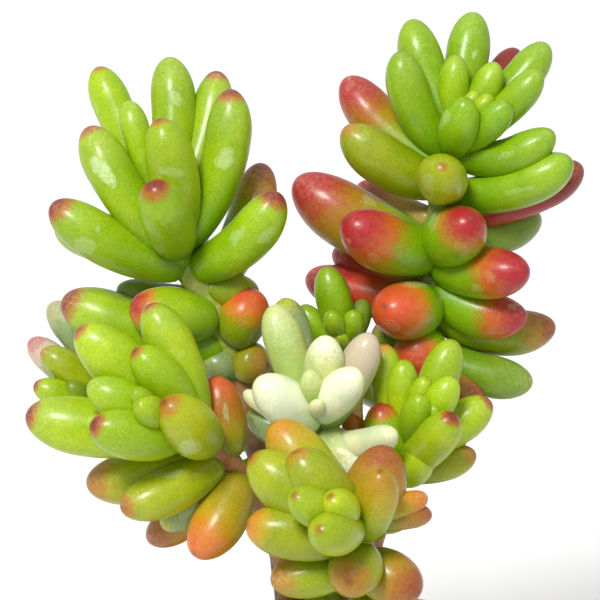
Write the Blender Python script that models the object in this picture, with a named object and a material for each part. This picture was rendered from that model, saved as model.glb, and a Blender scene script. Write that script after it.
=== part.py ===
"""A jelly bean plant: eight leafy stems of bean-shaped leaves, rooted in the soil of a plain clay pot.

The pot stands on z = 0 with its axis on the z axis. The front view looks along +Y and down by EYE_ELEVATION.
What the front view shows is placed by hand from it, leaf by leaf: a column and row of that view, in pixels,
and a depth in millimetres towards the eye. What it hides follows a rule. Sizes are in millimetres.
"""

import math
from collections import namedtuple

import bmesh
import bpy
import numpy as np

MM = 0.001
GAP = 0.3
WELD = 0.002

# The front view: PIXEL is a pixel's width at the middle plane, and the pot's rim is centred below the frame.
EYE_ELEVATION = math.radians(35.0)
EYE_DISTANCE = 500.0
PIXEL = 0.16
VIEW_MIDDLE = 300.0
VIEW_BOTTOM = 600.0
RIM_COLUMN = 310.0
RIM_ROW = 712.0

# The clay pot
POT_HEIGHT = 54.0
POT_FOOT_RADIUS = 19.5
POT_SHOULDER_RADIUS = 25.5
POT_BAND_RADIUS = 28.0
POT_RIM_RADIUS = 28.5
POT_RIM_DEPTH = 13.0
POT_WALL = 3.0
POT_FLOOR = 4.0
POT_EDGE = 0.9
POT_SIDES = 32
DRAIN_COUNT = 3
DRAIN_RADIUS = 2.6
DRAIN_CIRCLE = 9.5
DRAIN_TURN = math.radians(30.0)

# The soil: its top is a low dome with lumps, which are waves across and along it.
SOIL_BELOW_RIM = 6.0
SOIL_DOME = 1.6
SOIL_LUMP = 0.55
SOIL_WAVE_ACROSS = 11.4
SOIL_WAVE_ALONG = 10.1
SOIL_SIDES = 24
SOIL_RINGS = 4

# The stems: each thickens from its tip over STEM_TAPER, and then slowly down to its foot.
STEM_FOOT_SHARE = 1.3
STEM_TIP_SHARE = 0.6
STEM_TAPER = 6.0
STEM_DEPTH = 12.0
STEM_RISE = 5.0
STEM_SIDES = 7
STEM_STEP = 6.0
HOLE_GAP = 0.6
HOLE_SIDES = 12

# The leaves: a neck, then a belly, then a round end, which is at most LEAF_CAP_MOST of the length. A faceted
# limb's corners stand out by FACET_SWELL, so that it is as thick as the round one.
LEAF_SIDES = 6
LEAF_ROOT_SHARE = 0.48
LEAF_FULLNESS = 0.6
LEAF_NECK_PLACE = 0.3
LEAF_CAP_PLACES = (0.62, 0.9)
LEAF_CAP_GIRTHS = 0.9
LEAF_CAP_MOST = 0.5
LEAF_BOW = 0.14
LEAF_THICKNESS = 0.96
LEAST_UPPER = 0.2
FACET_SWELL = 1.07
SAMPLES = 9

# The leaves that the front view hides: one every HIDDEN_STEP down the stem, each turned by the golden angle.
GOLDEN_ANGLE = math.radians(137.5)
HIDDEN_STEP = 1.9
HIDDEN_START = 3.0
HIDDEN_BARE = 14.0
HIDDEN_LENGTH = 16.5
HIDDEN_GIRTH = 6.8
HIDDEN_PITCH = math.radians(55.0)
HIDDEN_DROOP = math.radians(45.0)
HIDDEN_DROOP_LENGTH = 35.0
HIDDEN_SPREAD = 0.14
HIDDEN_PITCH_BEAT = 2.3
HIDDEN_LENGTH_BEAT = 1.7
HIDDEN_CROWDING = 0.6
HIDDEN_CLEARANCE = 0.9

GREEN = (0.33, 0.56, 0.07)
PALE_GREEN = (0.66, 0.76, 0.50)
CLAY = (0.60, 0.27, 0.15)
EARTH = (0.09, 0.06, 0.04)
LEAF_ROUGHNESS = 0.35
CLAY_ROUGHNESS = 0.9
EARTH_ROUGHNESS = 1.0
SMOOTH_ANGLE = math.radians(35.0)
LEAF_SMOOTH_ANGLE = math.radians(70.0)

Mark = namedtuple("Mark", "column row toward")
Leaf = namedtuple("Leaf", "down column row toward girth bow sway", defaults=(LEAF_BOW, 0.0))
Shoot = namedtuple("Shoot", "name colour foot stem marks leaves hidden_turn")
Limb = namedtuple("Limb", "line radii upper")

# A stem has its foot's x and y, and its radius below its taper. Each mark is a point of it: its column and
# row in the front view, and its depth towards the eye.
# Each leaf is rooted so far down from the growing tip, and has its own tip at a column and row of the
# front view, so much nearer to the eye than its root. Then come its greatest girth, its bow and its sway.
SHOOTS = (
    Shoot(
        "shoot_back_left", GREEN, (-3.4, 8.0), 2.3,
        (
            Mark(292, 610, 2), Mark(276, 500, 17), Mark(257, 437, 22), Mark(242, 375, 26),
            Mark(220, 325, 29), Mark(199, 285, 31), Mark(174, 245, 32), Mark(158, 205, 33),
        ),
        (
            Leaf(2.0, 97, 67, -7, 6.0), Leaf(11.0, 88, 127, 3, 7.0, 0.2, -0.1),
            Leaf(1.0, 127, 101, 1, 4.3), Leaf(1.5, 168, 57, -6, 6.9), Leaf(7.0, 158, 119, 9, 7.7),
            Leaf(3.0, 217, 71, -7, 6.2), Leaf(7.5, 230, 89, 3, 7.1, 0.2), Leaf(7.0, 152, 184, 16, 7.8),
            Leaf(10.5, 52, 203, 6, 7.8, 0.16), Leaf(11.0, 277, 192, 7, 7.6, 0.24),
            Leaf(16.0, 262, 163, -7, 6.8), Leaf(15.5, 117, 288, -5, 5.0), Leaf(19.0, 132, 303, 6, 9.0),
            Leaf(13.5, 258, 290, -4, 6.2), Leaf(23.5, 250, 289, 3, 8.4), Leaf(26.0, 268, 365, 2, 6.6),
            Leaf(28.0, 203, 358, 3, 5.6), Leaf(25.0, 62, 299, 1, 9.0, 0.08),
        ),
        0.4,
    ),
    Shoot(
        "shoot_back_right", GREEN, (4.0, 7.0), 1.9,
        (
            Mark(348, 610, 7), Mark(379, 500, 18), Mark(404, 420, 20), Mark(422, 350, 21),
            Mark(432, 280, 22), Mark(438, 220, 24), Mark(447, 170, 26), Mark(460, 125, 28),
        ),
        (
            Leaf(1.0, 412, 19, -3, 6.8), Leaf(5.0, 401, 51, 5, 6.6, 0.2), Leaf(0.5, 475, 12, -5, 6.6),
            Leaf(0.5, 458, 55, 2, 5.0), Leaf(0.5, 495, 62, 2, 4.9), Leaf(1.5, 547, 43, -3, 6.0),
            Leaf(3.0, 540, 70, 5, 5.2), Leaf(4.0, 467, 99, 10, 6.0), Leaf(3.5, 508, 102, 8, 5.2),
            Leaf(2.0, 517, 49, -10, 5.2), Leaf(7.0, 346, 77, -4, 7.8, 0.18),
            Leaf(9.5, 345, 127, 5, 8.1, 0.17), Leaf(9.0, 442, 166, 15, 7.8),
            Leaf(4.5, 553, 131, 6, 6.3, 0.3), Leaf(11.0, 571, 158, 7, 7.0, 0.2),
            Leaf(14.0, 582, 165, -2, 6.8, 0.17), Leaf(18.0, 540, 215, -6, 7.2),
            Leaf(20.0, 296, 178, 1, 10.4), Leaf(20.0, 347, 220, 12, 9.6), Leaf(15.0, 359, 184, -8, 5.0),
            Leaf(18.5, 471, 218, 14, 9.2), Leaf(21.5, 527, 269, 11, 8.4),
            Leaf(25.5, 527, 315, 4, 7.8, 0.24), Leaf(28.5, 555, 324, -4, 7.4, 0.26),
            Leaf(28.0, 385, 307, 11, 9.5), Leaf(32.5, 414, 368, 6, 8.4), Leaf(35.0, 533, 382, 1, 6.8),
            Leaf(37.0, 484, 399, 3, 6.2), Leaf(27.0, 307, 275, -7, 7.4), Leaf(24.0, 334, 250, -8, 6.0),
            Leaf(0.2, 476, 90, 3, 3.2), Leaf(1.0, 490, 94, 4, 3.6), Leaf(32.0, 371, 334, 0, 6.6),
        ),
        2.1,
    ),
    Shoot(
        "shoot_left", GREEN, (-8.0, -1.5), 1.8,
        (
            Mark(288, 620, 16), Mark(284, 555, 28), Mark(264, 508, 32), Mark(238, 472, 37),
            Mark(205, 443, 42), Mark(172, 426, 45), Mark(148, 412, 47),
        ),
        (
            Leaf(5.0, 77, 330, 3, 8.2), Leaf(9.0, 148, 305, 3, 7.4), Leaf(8.0, 134, 351, 7, 7.2),
            Leaf(3.0, 88, 384, 4, 6.6), Leaf(1.5, 133, 391, 8, 3.2), Leaf(2.5, 137, 403, 9, 4.8),
            Leaf(5.5, 26, 414, 0, 8.8, 0.17), Leaf(6.5, 92, 424, 9, 8.0, 0.12),
            Leaf(11.0, 164, 402, 12, 7.9), Leaf(15.5, 213, 377, 1, 7.2), Leaf(13.5, 86, 483, -3, 8.2),
            Leaf(14.5, 121, 508, 5, 7.5), Leaf(17.0, 161, 526, 0, 6.0),
            Leaf(18.5, 194, 554, 6, 8.4, 0.17, -0.02), Leaf(18.0, 147, 540, -6, 6.2),
        ),
        1.2,
    ),
    Shoot(
        "shoot_front", GREEN, (3.5, -9.0), 1.8,
        (
            Mark(340, 640, 26), Mark(362, 575, 44), Mark(361, 540, 51), Mark(344, 515, 57),
        ),
        (
            Leaf(4.0, 251, 457, 1, 9.0), Leaf(3.5, 295, 452, 3, 8.4, 0.14, -0.03),
            Leaf(5.0, 273, 422, -2, 8.4), Leaf(1.0, 294, 495, 7, 6.0), Leaf(0.5, 330, 496, 6, 5.8),
            Leaf(3.0, 319, 529, 11, 6.9), Leaf(5.0, 247, 525, 2, 8.5), Leaf(6.5, 380, 471, 8, 6.7),
            Leaf(6.5, 385, 445, -2, 9.0), Leaf(10.0, 349, 583, 8, 7.8),
            Leaf(13.0, 419, 593, 3, 8.0, 0.14, -0.05), Leaf(11.5, 271, 581, 2, 7.4),
            Leaf(2.5, 427, 496, -6, 3.7, 0.04), Leaf(4.0, 431, 514, -6, 3.6, -0.06),
        ),
        0.0,
    ),
    Shoot(
        "shoot_right", GREEN, (8.0, -2.5), 1.5,
        (
            Mark(358, 640, 15), Mark(366, 570, 24), Mark(385, 510, 30), Mark(407, 462, 33),
            Mark(422, 430, 36),
        ),
        (
            Leaf(4.5, 384, 344, 1, 5.4), Leaf(4.0, 405, 360, 3, 5.0), Leaf(3.0, 454, 340, 0, 5.9),
            Leaf(1.0, 427, 377, 4, 3.8), Leaf(2.0, 454, 377, 6, 4.9), Leaf(2.5, 422, 395, 8, 4.8),
            Leaf(0.5, 436, 406, 6, 2.8), Leaf(4.0, 491, 401, 1, 6.2, 0.06), Leaf(6.5, 453, 415, 13, 6.2),
            Leaf(7.5, 381, 404, 5, 6.8), Leaf(9.0, 347, 413, 1, 4.2), Leaf(8.0, 425, 453, 9, 5.8),
            Leaf(8.0, 476, 453, 1, 5.4, 0.06), Leaf(7.5, 464, 440, -7, 4.4),
        ),
        0.7,
    ),
    Shoot(
        "shoot_young", GREEN, (0.5, 1.5), 1.35,
        (
            Mark(318, 610, 11), Mark(342, 500, 17), Mark(354, 420, 21), Mark(351, 370, 24),
            Mark(342, 327, 27),
        ),
        (
            Leaf(2.5, 326, 267, 1, 5.5), Leaf(2.0, 330, 312, 6.5, 3.5), Leaf(2.5, 354, 311, 5.5, 3.9),
            Leaf(3.0, 364, 299, -2, 3.8), Leaf(6.0, 302, 305, 0, 4.2), Leaf(2.0, 339, 336, 5, 3.0),
        ),
        2.6,
    ),
    Shoot(
        "shoot_pale", PALE_GREEN, (-2.5, -4.5), 1.4,
        (
            Mark(318, 610, 19), Mark(319, 520, 28), Mark(318, 450, 34), Mark(317, 408, 40),
        ),
        (
            Leaf(3.5, 273, 305, 0, 6.0), Leaf(4.5, 284, 298, -2, 6.2), Leaf(2.5, 326, 337, 4, 6.2),
            Leaf(5.0, 371, 334, 4, 5.8), Leaf(1.5, 309, 370, 5, 3.7), Leaf(3.0, 258, 381, 7, 7.4, 0.06),
            Leaf(1.5, 359, 373, 7, 6.2, -0.02), Leaf(0.5, 318, 402, 6, 2.6), Leaf(0.5, 323, 388, 3, 1.9),
            Leaf(5.5, 364, 466, 5, 6.8), Leaf(7.0, 395, 434, 11, 4.6), Leaf(7.5, 248, 412, -3, 5.4),
            Leaf(5.5, 244, 391, -1, 2.6),
        ),
        1.9,
    ),
    Shoot(
        "shoot_far_left", GREEN, (-9.0, 5.0), 1.3,
        (
            Mark(284, 622, 8), Mark(286, 556, 17), Mark(240, 498, 24), Mark(175, 452, 23),
            Mark(112, 412, 22), Mark(80, 396, 23),
        ),
        (
            Leaf(7.0, 49, 304, -3, 5.8), Leaf(6.0, 30, 340, -2, 4.9), Leaf(4.0, 41, 351, 3, 5.4),
            Leaf(3.0, 75, 351, 1, 4.2), Leaf(2.0, 34, 384, 4, 4.6), Leaf(1.5, 66, 384, 4, 3.8),
        ),
        0.9,
    ),
)


def view_axes():
    """The directions to the right, up and towards the eye, as the front view has them."""
    sine = math.sin(EYE_ELEVATION)
    cosine = math.cos(EYE_ELEVATION)
    return np.array((1, 0, 0)), np.array((0, sine, cosine)), np.array((0, -cosine, sine))


def view_centre():
    """The point in the middle of the front view, level with the pot's rim centre in depth."""
    rim_centre = np.array((0, 0, POT_HEIGHT))
    across_view = (VIEW_MIDDLE - RIM_COLUMN) * PIXEL * RIGHT
    up_view = (RIM_ROW - VIEW_MIDDLE) * PIXEL * UP
    return rim_centre + across_view + up_view


RIGHT, UP, TOWARD = view_axes()
VIEW_CENTRE = view_centre()


def spot(column, row, toward):
    """The point seen at a column and row of the front view, so far towards the eye from its middle plane."""
    pixel = PIXEL * (1 - toward / EYE_DISTANCE)
    across_view = (column - VIEW_MIDDLE) * pixel * RIGHT
    up_view = (VIEW_MIDDLE - row) * pixel * UP
    return VIEW_CENTRE + across_view + up_view + toward * TOWARD


def seen(points):
    """The columns and rows at which the front view shows these points."""
    offset = np.atleast_2d(points) - VIEW_CENTRE
    pixel = PIXEL * (1 - offset @ TOWARD / EYE_DISTANCE)
    return VIEW_MIDDLE + offset @ RIGHT / pixel, VIEW_MIDDLE - offset @ UP / pixel


def unit(vector):
    return vector / np.linalg.norm(vector)


def across(vector, axis):
    """The part of a vector at right angles to a unit axis."""
    return vector - (vector @ axis) * axis


def on_circle(radius, turn):
    return radius * math.cos(turn), radius * math.sin(turn)


def smooth_line(knots, step):
    """Points about a step apart on a smooth curve through all the knots."""
    knots = np.array(knots, float)
    padded = np.vstack((2 * knots[0] - knots[1], knots, 2 * knots[-1] - knots[-2]))
    line = []
    for before, start, end, after in zip(padded, padded[1:], padded[2:], padded[3:]):
        count = max(1, round(np.linalg.norm(end - start) / step))
        slope = end - before
        bend = 2 * before - 5 * start + 4 * end - after
        twist = 3 * start - before - 3 * end + after
        for t in np.arange(count) / count:
            line.append(start + 0.5 * (slope * t + bend * t**2 + twist * t**3))
    return np.array([*line, knots[-1]])


def stem_of(shoot):
    """The stem, from the bottom of its hole in the soil to its growing tip."""
    x, y = shoot.foot
    soil = POT_HEIGHT - SOIL_BELOW_RIM
    foot = [(x, y, soil - STEM_DEPTH), (x, y, soil + STEM_RISE)]
    line = smooth_line([*foot, *(spot(*mark) for mark in shoot.marks)], STEM_STEP)
    steps = np.linalg.norm(np.diff(line, axis=0), axis=1)
    below_tip = np.append(np.cumsum(steps[::-1])[::-1], 0.0)
    shares = np.interp(below_tip, (0.0, STEM_TAPER, below_tip[0]), (STEM_TIP_SHARE, 1.0, STEM_FOOT_SHARE))
    return Limb(line, shoot.stem * shares, np.array((0.0, -1.0, 0.0)))


def down_from_tip(line, distance):
    """The point of a stem so far below its tip, and the stem's direction there, towards the tip."""
    for end, start in zip(line[::-1], line[-2::-1]):
        length = np.linalg.norm(end - start)
        if distance <= length:
            return end + (start - end) * distance / length, unit(end - start)
        distance -= length
    return line[0], unit(line[1] - line[0])


def belly_place(length, girth):
    """How far along its length a leaf is thickest. Its round end starts there."""
    return 1 - min(LEAF_CAP_MOST, LEAF_CAP_GIRTHS * girth / length)


def leaf_share(along, belly):
    """A leaf's girth at a share of its length, as a share of its greatest girth."""
    if along < belly:
        rise = math.sin(math.pi / 2 * (along / belly) ** LEAF_FULLNESS)
        return LEAF_ROOT_SHARE + (1 - LEAF_ROOT_SHARE) * rise
    return math.sqrt(max(0.0, 1 - ((along - belly) / (1 - belly)) ** 2))


def leaf_places(length, girth):
    """Where a leaf has its rings: at its root, neck and belly, and at two places of its round end."""
    belly = belly_place(length, girth)
    cap = [belly + place * (1 - belly) for place in LEAF_CAP_PLACES]
    return (0.0, LEAF_NECK_PLACE * belly, belly, *cap, 1.0)


def even_places(length, girth):
    """Evenly spaced places, for measuring distances."""
    return np.linspace(0, 1, SAMPLES)


def leaf_limb(root, tip, upward, girth, places_of, bow=LEAF_BOW, sway=0.0):
    """A leaf as a curved line with a radius at each place along it.

    It bows away from the growing tip, and sways to the right of its way from root to tip in the front view.
    """
    chord = tip - root
    length = np.linalg.norm(chord)
    places = places_of(length, girth)
    upper = across(upward, chord / length)
    if np.linalg.norm(upper) < LEAST_UPPER:
        upper = across(-TOWARD, chord / length)
    upper = unit(upper)
    elbow = root + chord / 2 - upper * bow * length + np.cross(chord, TOWARD) * sway
    t = np.array(places)[:, None]
    line = (1 - t) ** 2 * root + 2 * t * (1 - t) * elbow + t**2 * tip
    belly = belly_place(length, girth)
    radii = np.array([leaf_share(place, belly) for place in places]) * girth / 2
    return Limb(line, radii, upper)


def clearance(first, second):
    """The least distance between the surfaces of two limbs."""
    apart = np.linalg.norm(first.line[:, None] - second.line[None], axis=2)
    return (apart - first.radii[:, None] - second.radii[None]).min()


def placed_leaves(shoot, stem, places_of):
    """The leaves that the front view shows."""
    made = []
    for leaf in shoot.leaves:
        root, upward = down_from_tip(stem.line, leaf.down)
        depth = (root - VIEW_CENTRE) @ TOWARD
        tip = spot(leaf.column, leaf.row, depth + leaf.toward)
        made.append(leaf_limb(root, tip, upward, leaf.girth, places_of, leaf.bow, leaf.sway))
    return made


def spiral_leaves(shoot, stem):
    """Root, tip, direction and girth of leaves on a spiral down the stem, each to be kept or left out."""
    length = np.linalg.norm(np.diff(stem.line, axis=0), axis=1).sum()
    count = int((length - STEM_DEPTH - HIDDEN_BARE - HIDDEN_START) / HIDDEN_STEP)
    for k in range(count):
        down = HIDDEN_START + k * HIDDEN_STEP
        root, upward = down_from_tip(stem.line, down)
        side = unit(across(RIGHT, upward))
        other = np.cross(upward, side)
        turn = shoot.hidden_turn + k * GOLDEN_ANGLE
        outward = math.cos(turn) * side + math.sin(turn) * other
        pitch = HIDDEN_PITCH + HIDDEN_DROOP * min(1, down / HIDDEN_DROOP_LENGTH)
        pitch *= 1 + HIDDEN_SPREAD * math.sin(HIDDEN_PITCH_BEAT * k)
        reach = HIDDEN_LENGTH * (1 + HIDDEN_SPREAD * math.sin(HIDDEN_LENGTH_BEAT * k + shoot.hidden_turn))
        aim = math.cos(pitch) * upward + math.sin(pitch) * outward
        yield root, root + reach * aim, upward, HIDDEN_GIRTH * reach / HIDDEN_LENGTH


def is_hidden(limb, others):
    """Whether the front view's frame ends above this limb, or whether nearer limbs cover it there."""
    columns, rows = seen(limb.line)
    for column, row, point in zip(columns, rows, limb.line):
        if row > VIEW_BOTTOM:
            continue
        covered = False
        for other in others:
            spots = np.array(seen(other.line)).T
            apart = np.linalg.norm(spots - (column, row), axis=1) * PIXEL
            in_front = (other.line - point) @ TOWARD > 0
            covered = covered or bool((in_front & (apart < other.radii)).any())
        if not covered:
            return False
    return True


def hidden_leaves(stems, placed):
    """For each shoot, the leaves that the front view hides, clear of all other leaves and stems."""
    kept = {shoot.name: [] for shoot in SHOOTS}
    everything = [
        (shoot.name, limb) for shoot in SHOOTS for limb in (stems[shoot.name], *placed[shoot.name])
    ]
    for shoot in SHOOTS:
        for root, tip, upward, girth in spiral_leaves(shoot, stems[shoot.name]):
            limb = leaf_limb(root, tip, upward, girth, even_places)
            outer = Limb(limb.line[SAMPLES // 2:], limb.radii[SAMPLES // 2:], limb.upper)
            own = [other for name, other in everything if name == shoot.name]
            foreign = [other for name, other in everything if name != shoot.name]
            crowd = -HIDDEN_CROWDING * girth / 2
            clear = all(clearance(outer, other) > crowd for other in own[1:])
            clear = clear and all(clearance(limb, other) > HIDDEN_CLEARANCE for other in foreign)
            if clear and is_hidden(limb, own + foreign):
                kept[shoot.name].append((root, tip, upward, girth))
                everything.append((shoot.name, limb))
    return kept


def material(name, colour, roughness):
    made = bpy.data.materials.new(name)
    made.use_nodes = True
    shader = made.node_tree.nodes["Principled BSDF"]
    shader.inputs["Base Color"].default_value = (*colour, 1)
    shader.inputs["Roughness"].default_value = roughness
    shader.inputs["Metallic"].default_value = 0
    made.diffuse_color = (*colour, 1)
    return made


def add_object(name, points, faces, surface=None):
    """An object whose mesh has these points, in millimetres, and these faces."""
    mesh = bpy.data.meshes.new(name)
    mesh.from_pydata([tuple(MM * c for c in point) for point in points], [], faces)
    solid = bmesh.new()
    solid.from_mesh(mesh)
    bmesh.ops.recalc_face_normals(solid, faces=solid.faces)
    solid.to_mesh(mesh)
    solid.free()
    if surface:
        mesh.materials.append(surface)
    made = bpy.data.objects.new(name, mesh)
    bpy.context.scene.collection.objects.link(made)
    return made


def faces_between(rings, sides):
    """The faces of a skin over rings of points. A ring of one point closes it like a cone."""
    faces = []
    for lower, upper in zip(rings, rings[1:]):
        for k in range(sides):
            following = (k + 1) % sides
            corners = (
                lower[k % len(lower)], lower[following % len(lower)],
                upper[following % len(upper)], upper[k % len(upper)],
            )
            faces.append(tuple(dict.fromkeys(corners)))
    return faces


def limb_object(name, limb, sides, surface=None, flat=1.0):
    """A closed tube along a limb. It starts with a flat cut, and ends in a point if its last radius is 0."""
    directions = np.gradient(limb.line, axis=0)
    points = []
    rings = []
    for place, radius, direction in zip(limb.line, limb.radii, directions):
        if radius == 0:
            rings.append([len(points)])
            points.append(place)
            continue
        upper = unit(across(limb.upper, unit(direction)))
        side = np.cross(unit(direction), upper)
        rings.append(range(len(points), len(points) + sides))
        for k in range(sides):
            x, y = on_circle(FACET_SWELL * radius, 2 * math.pi * (k + 0.5) / sides)
            points.append(place + flat * x * upper + y * side)
    faces = faces_between(rings, sides)
    faces.extend(tuple(ring) for ring in (rings[0], rings[-1]) if len(ring) > 1)
    return add_object(name, points, faces, surface)


def combine(base, others, operation):
    """Joins the others to the base, or cuts them from it, and leaves only the base's outer skin."""
    group = bpy.data.collections.new("operands")
    bpy.context.scene.collection.children.link(group)
    for other in others:
        group.objects.link(other)
    modifier = base.modifiers.new(operation, "BOOLEAN")
    modifier.operation = operation
    modifier.operand_type = "COLLECTION"
    modifier.collection = group
    modifier.solver = "EXACT"
    evaluated = base.evaluated_get(bpy.context.evaluated_depsgraph_get())
    mesh = bpy.data.meshes.new_from_object(evaluated)
    base.modifiers.clear()
    base.data = mesh
    for other in others:
        bpy.data.objects.remove(other)
    bpy.data.collections.remove(group)
    keep_outer_skin(mesh)


def keep_outer_skin(mesh):
    """Removes the loose scraps and sealed hollows that a join leaves."""
    solid = bmesh.new()
    solid.from_mesh(mesh)
    bmesh.ops.remove_doubles(solid, verts=solid.verts, dist=WELD * MM)
    bmesh.ops.dissolve_degenerate(solid, edges=solid.edges, dist=WELD * MM)
    waiting = set(solid.verts)
    skins = []
    while waiting:
        front = [waiting.pop()]
        skin = set(front)
        while front:
            vertex = front.pop()
            reached = {link.other_vert(vertex) for link in vertex.link_edges} & waiting
            waiting -= reached
            skin |= reached
            front.extend(reached)
        skins.append(skin)
    skins.sort(key=len)
    for skin in skins[:-1]:
        bmesh.ops.delete(solid, geom=list(skin), context="VERTS")
    solid.to_mesh(mesh)
    solid.free()


def shade(made, angle):
    """Smooth shading, except over edges sharper than an angle."""
    made.data.shade_smooth()
    made.data.set_sharp_from_angle(angle=angle)


def turned(name, profile, sides, surface):
    """A closed solid turned from (radius, height) points, the first and last of them on the axis."""
    points = []
    rings = []
    for radius, height in profile:
        count = sides if radius > 0 else 1
        rings.append(range(len(points), len(points) + count))
        points.extend((*on_circle(radius, 2 * math.pi * k / sides), height) for k in range(count))
    return add_object(name, points, faces_between(rings, sides), surface)


def inner_radius(height):
    """The radius of the pot's cavity at a height."""
    share = (height - POT_FLOOR) / (POT_HEIGHT - POT_FLOOR)
    bottom = POT_FOOT_RADIUS - POT_WALL
    return bottom + (POT_RIM_RADIUS - POT_WALL - bottom) * share


def make_pot():
    """A tapered clay pot with a deep plain rim and three drain holes."""
    band = POT_HEIGHT - POT_RIM_DEPTH
    mouth = inner_radius(POT_HEIGHT)
    profile = (
        (0, 0), (POT_FOOT_RADIUS - POT_EDGE, 0), (POT_FOOT_RADIUS, POT_EDGE), (POT_SHOULDER_RADIUS, band),
        (POT_BAND_RADIUS - POT_EDGE, band), (POT_BAND_RADIUS, band + POT_EDGE),
        (POT_RIM_RADIUS, POT_HEIGHT - POT_EDGE), (POT_RIM_RADIUS - POT_EDGE, POT_HEIGHT),
        (mouth + POT_EDGE, POT_HEIGHT), (mouth, POT_HEIGHT - POT_EDGE),
        (inner_radius(POT_FLOOR + POT_EDGE), POT_FLOOR + POT_EDGE),
        (inner_radius(POT_FLOOR) - POT_EDGE, POT_FLOOR), (0, POT_FLOOR),
    )
    pot = turned("pot", profile, POT_SIDES, material("clay", CLAY, CLAY_ROUGHNESS))
    drains = []
    for k in range(DRAIN_COUNT):
        x, y = on_circle(DRAIN_CIRCLE, DRAIN_TURN + 2 * math.pi * k / DRAIN_COUNT)
        drains.append(bore("drain", x, y, -POT_FLOOR, 2 * POT_FLOOR, DRAIN_RADIUS))
    combine(pot, drains, "DIFFERENCE")
    shade(pot, SMOOTH_ANGLE)


def bore(name, x, y, bottom, top, radius):
    """An upright cutter for a round hole."""
    line = np.array([(x, y, bottom), (x, y, top)])
    return limb_object(name, Limb(line, (radius, radius), np.array((0.0, 1.0, 0.0))), HOLE_SIDES)


def make_soil(stems):
    """A plug of soil with a lumpy, slightly domed top, and a plain hole for each stem."""
    floor = POT_FLOOR + GAP
    top = POT_HEIGHT - SOIL_BELOW_RIM
    flat = math.cos(math.pi / POT_SIDES)
    edge = inner_radius(top) * flat - GAP
    profile = [
        (0, floor), (inner_radius(floor) * flat - POT_EDGE - GAP, floor),
        (inner_radius(floor + POT_EDGE) * flat - GAP, floor + POT_EDGE),
    ]
    profile.extend((edge * (1 - ring / SOIL_RINGS), top) for ring in range(SOIL_RINGS + 1))
    soil = turned("soil", profile, SOIL_SIDES, material("earth", EARTH, EARTH_ROUGHNESS))
    raise_lumps(soil.data, top, edge)
    holes = []
    for stem in stems:
        x, y, bottom = stem.line[0]
        holes.append(bore("hole", x, y, bottom - GAP, top + STEM_RISE, stem.radii[0] + HOLE_GAP))
    combine(soil, holes, "DIFFERENCE")
    shade(soil, SMOOTH_ANGLE)


def raise_lumps(mesh, top, edge):
    """Raises a flat top into a dome with lumps, and splits every face into triangles."""
    solid = bmesh.new()
    solid.from_mesh(mesh)
    for vertex in solid.verts:
        x, y, z = vertex.co / MM
        if z > top - GAP:
            vertex.co.z += MM * soil_rise(x, y, edge)
    bmesh.ops.triangulate(solid, faces=solid.faces)
    solid.to_mesh(mesh)
    solid.free()


def soil_rise(x, y, edge):
    """The height of the soil's dome and lumps over its edge."""
    dome = SOIL_DOME * (1 - (x * x + y * y) / edge**2)
    across_wave = math.sin(2 * math.pi * x / SOIL_WAVE_ACROSS)
    along_wave = math.cos(2 * math.pi * y / SOIL_WAVE_ALONG)
    return dome + SOIL_LUMP * across_wave * along_wave


def make_shoot(shoot, stem, hidden):
    """One stem with all its leaves, joined in one solid."""
    surface = material(shoot.name, shoot.colour, LEAF_ROUGHNESS)
    limbs = placed_leaves(shoot, stem, leaf_places)
    limbs.extend(leaf_limb(*leaf, leaf_places) for leaf in hidden)
    made = limb_object(shoot.name, stem, STEM_SIDES, surface)
    leaves = [limb_object("leaf", limb, LEAF_SIDES, flat=LEAF_THICKNESS) for limb in limbs]
    combine(made, leaves, "UNION")
    shade(made, LEAF_SMOOTH_ANGLE)


def main():
    for old in list(bpy.data.objects):
        bpy.data.objects.remove(old)
    stems = {shoot.name: stem_of(shoot) for shoot in SHOOTS}
    placed = {shoot.name: placed_leaves(shoot, stems[shoot.name], even_places) for shoot in SHOOTS}
    hidden = hidden_leaves(stems, placed)
    make_pot()
    make_soil(stems.values())
    for shoot in SHOOTS:
        make_shoot(shoot, stems[shoot.name], hidden[shoot.name])


main()
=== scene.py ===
"""The looks of a jelly bean plant in a clay pot: eight leafy stems, grit on soil, fired clay.

The frame's leafy stems are replaced by finer ones of the same form, from the same table: a leaf's
tip is at a column and row of the front view, in pixels, and at a depth towards the eye. Sizes are in
millimetres unless a comment says otherwise, and colours are linear red, green and blue.
"""

import math
from collections import namedtuple
from itertools import combinations

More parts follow.
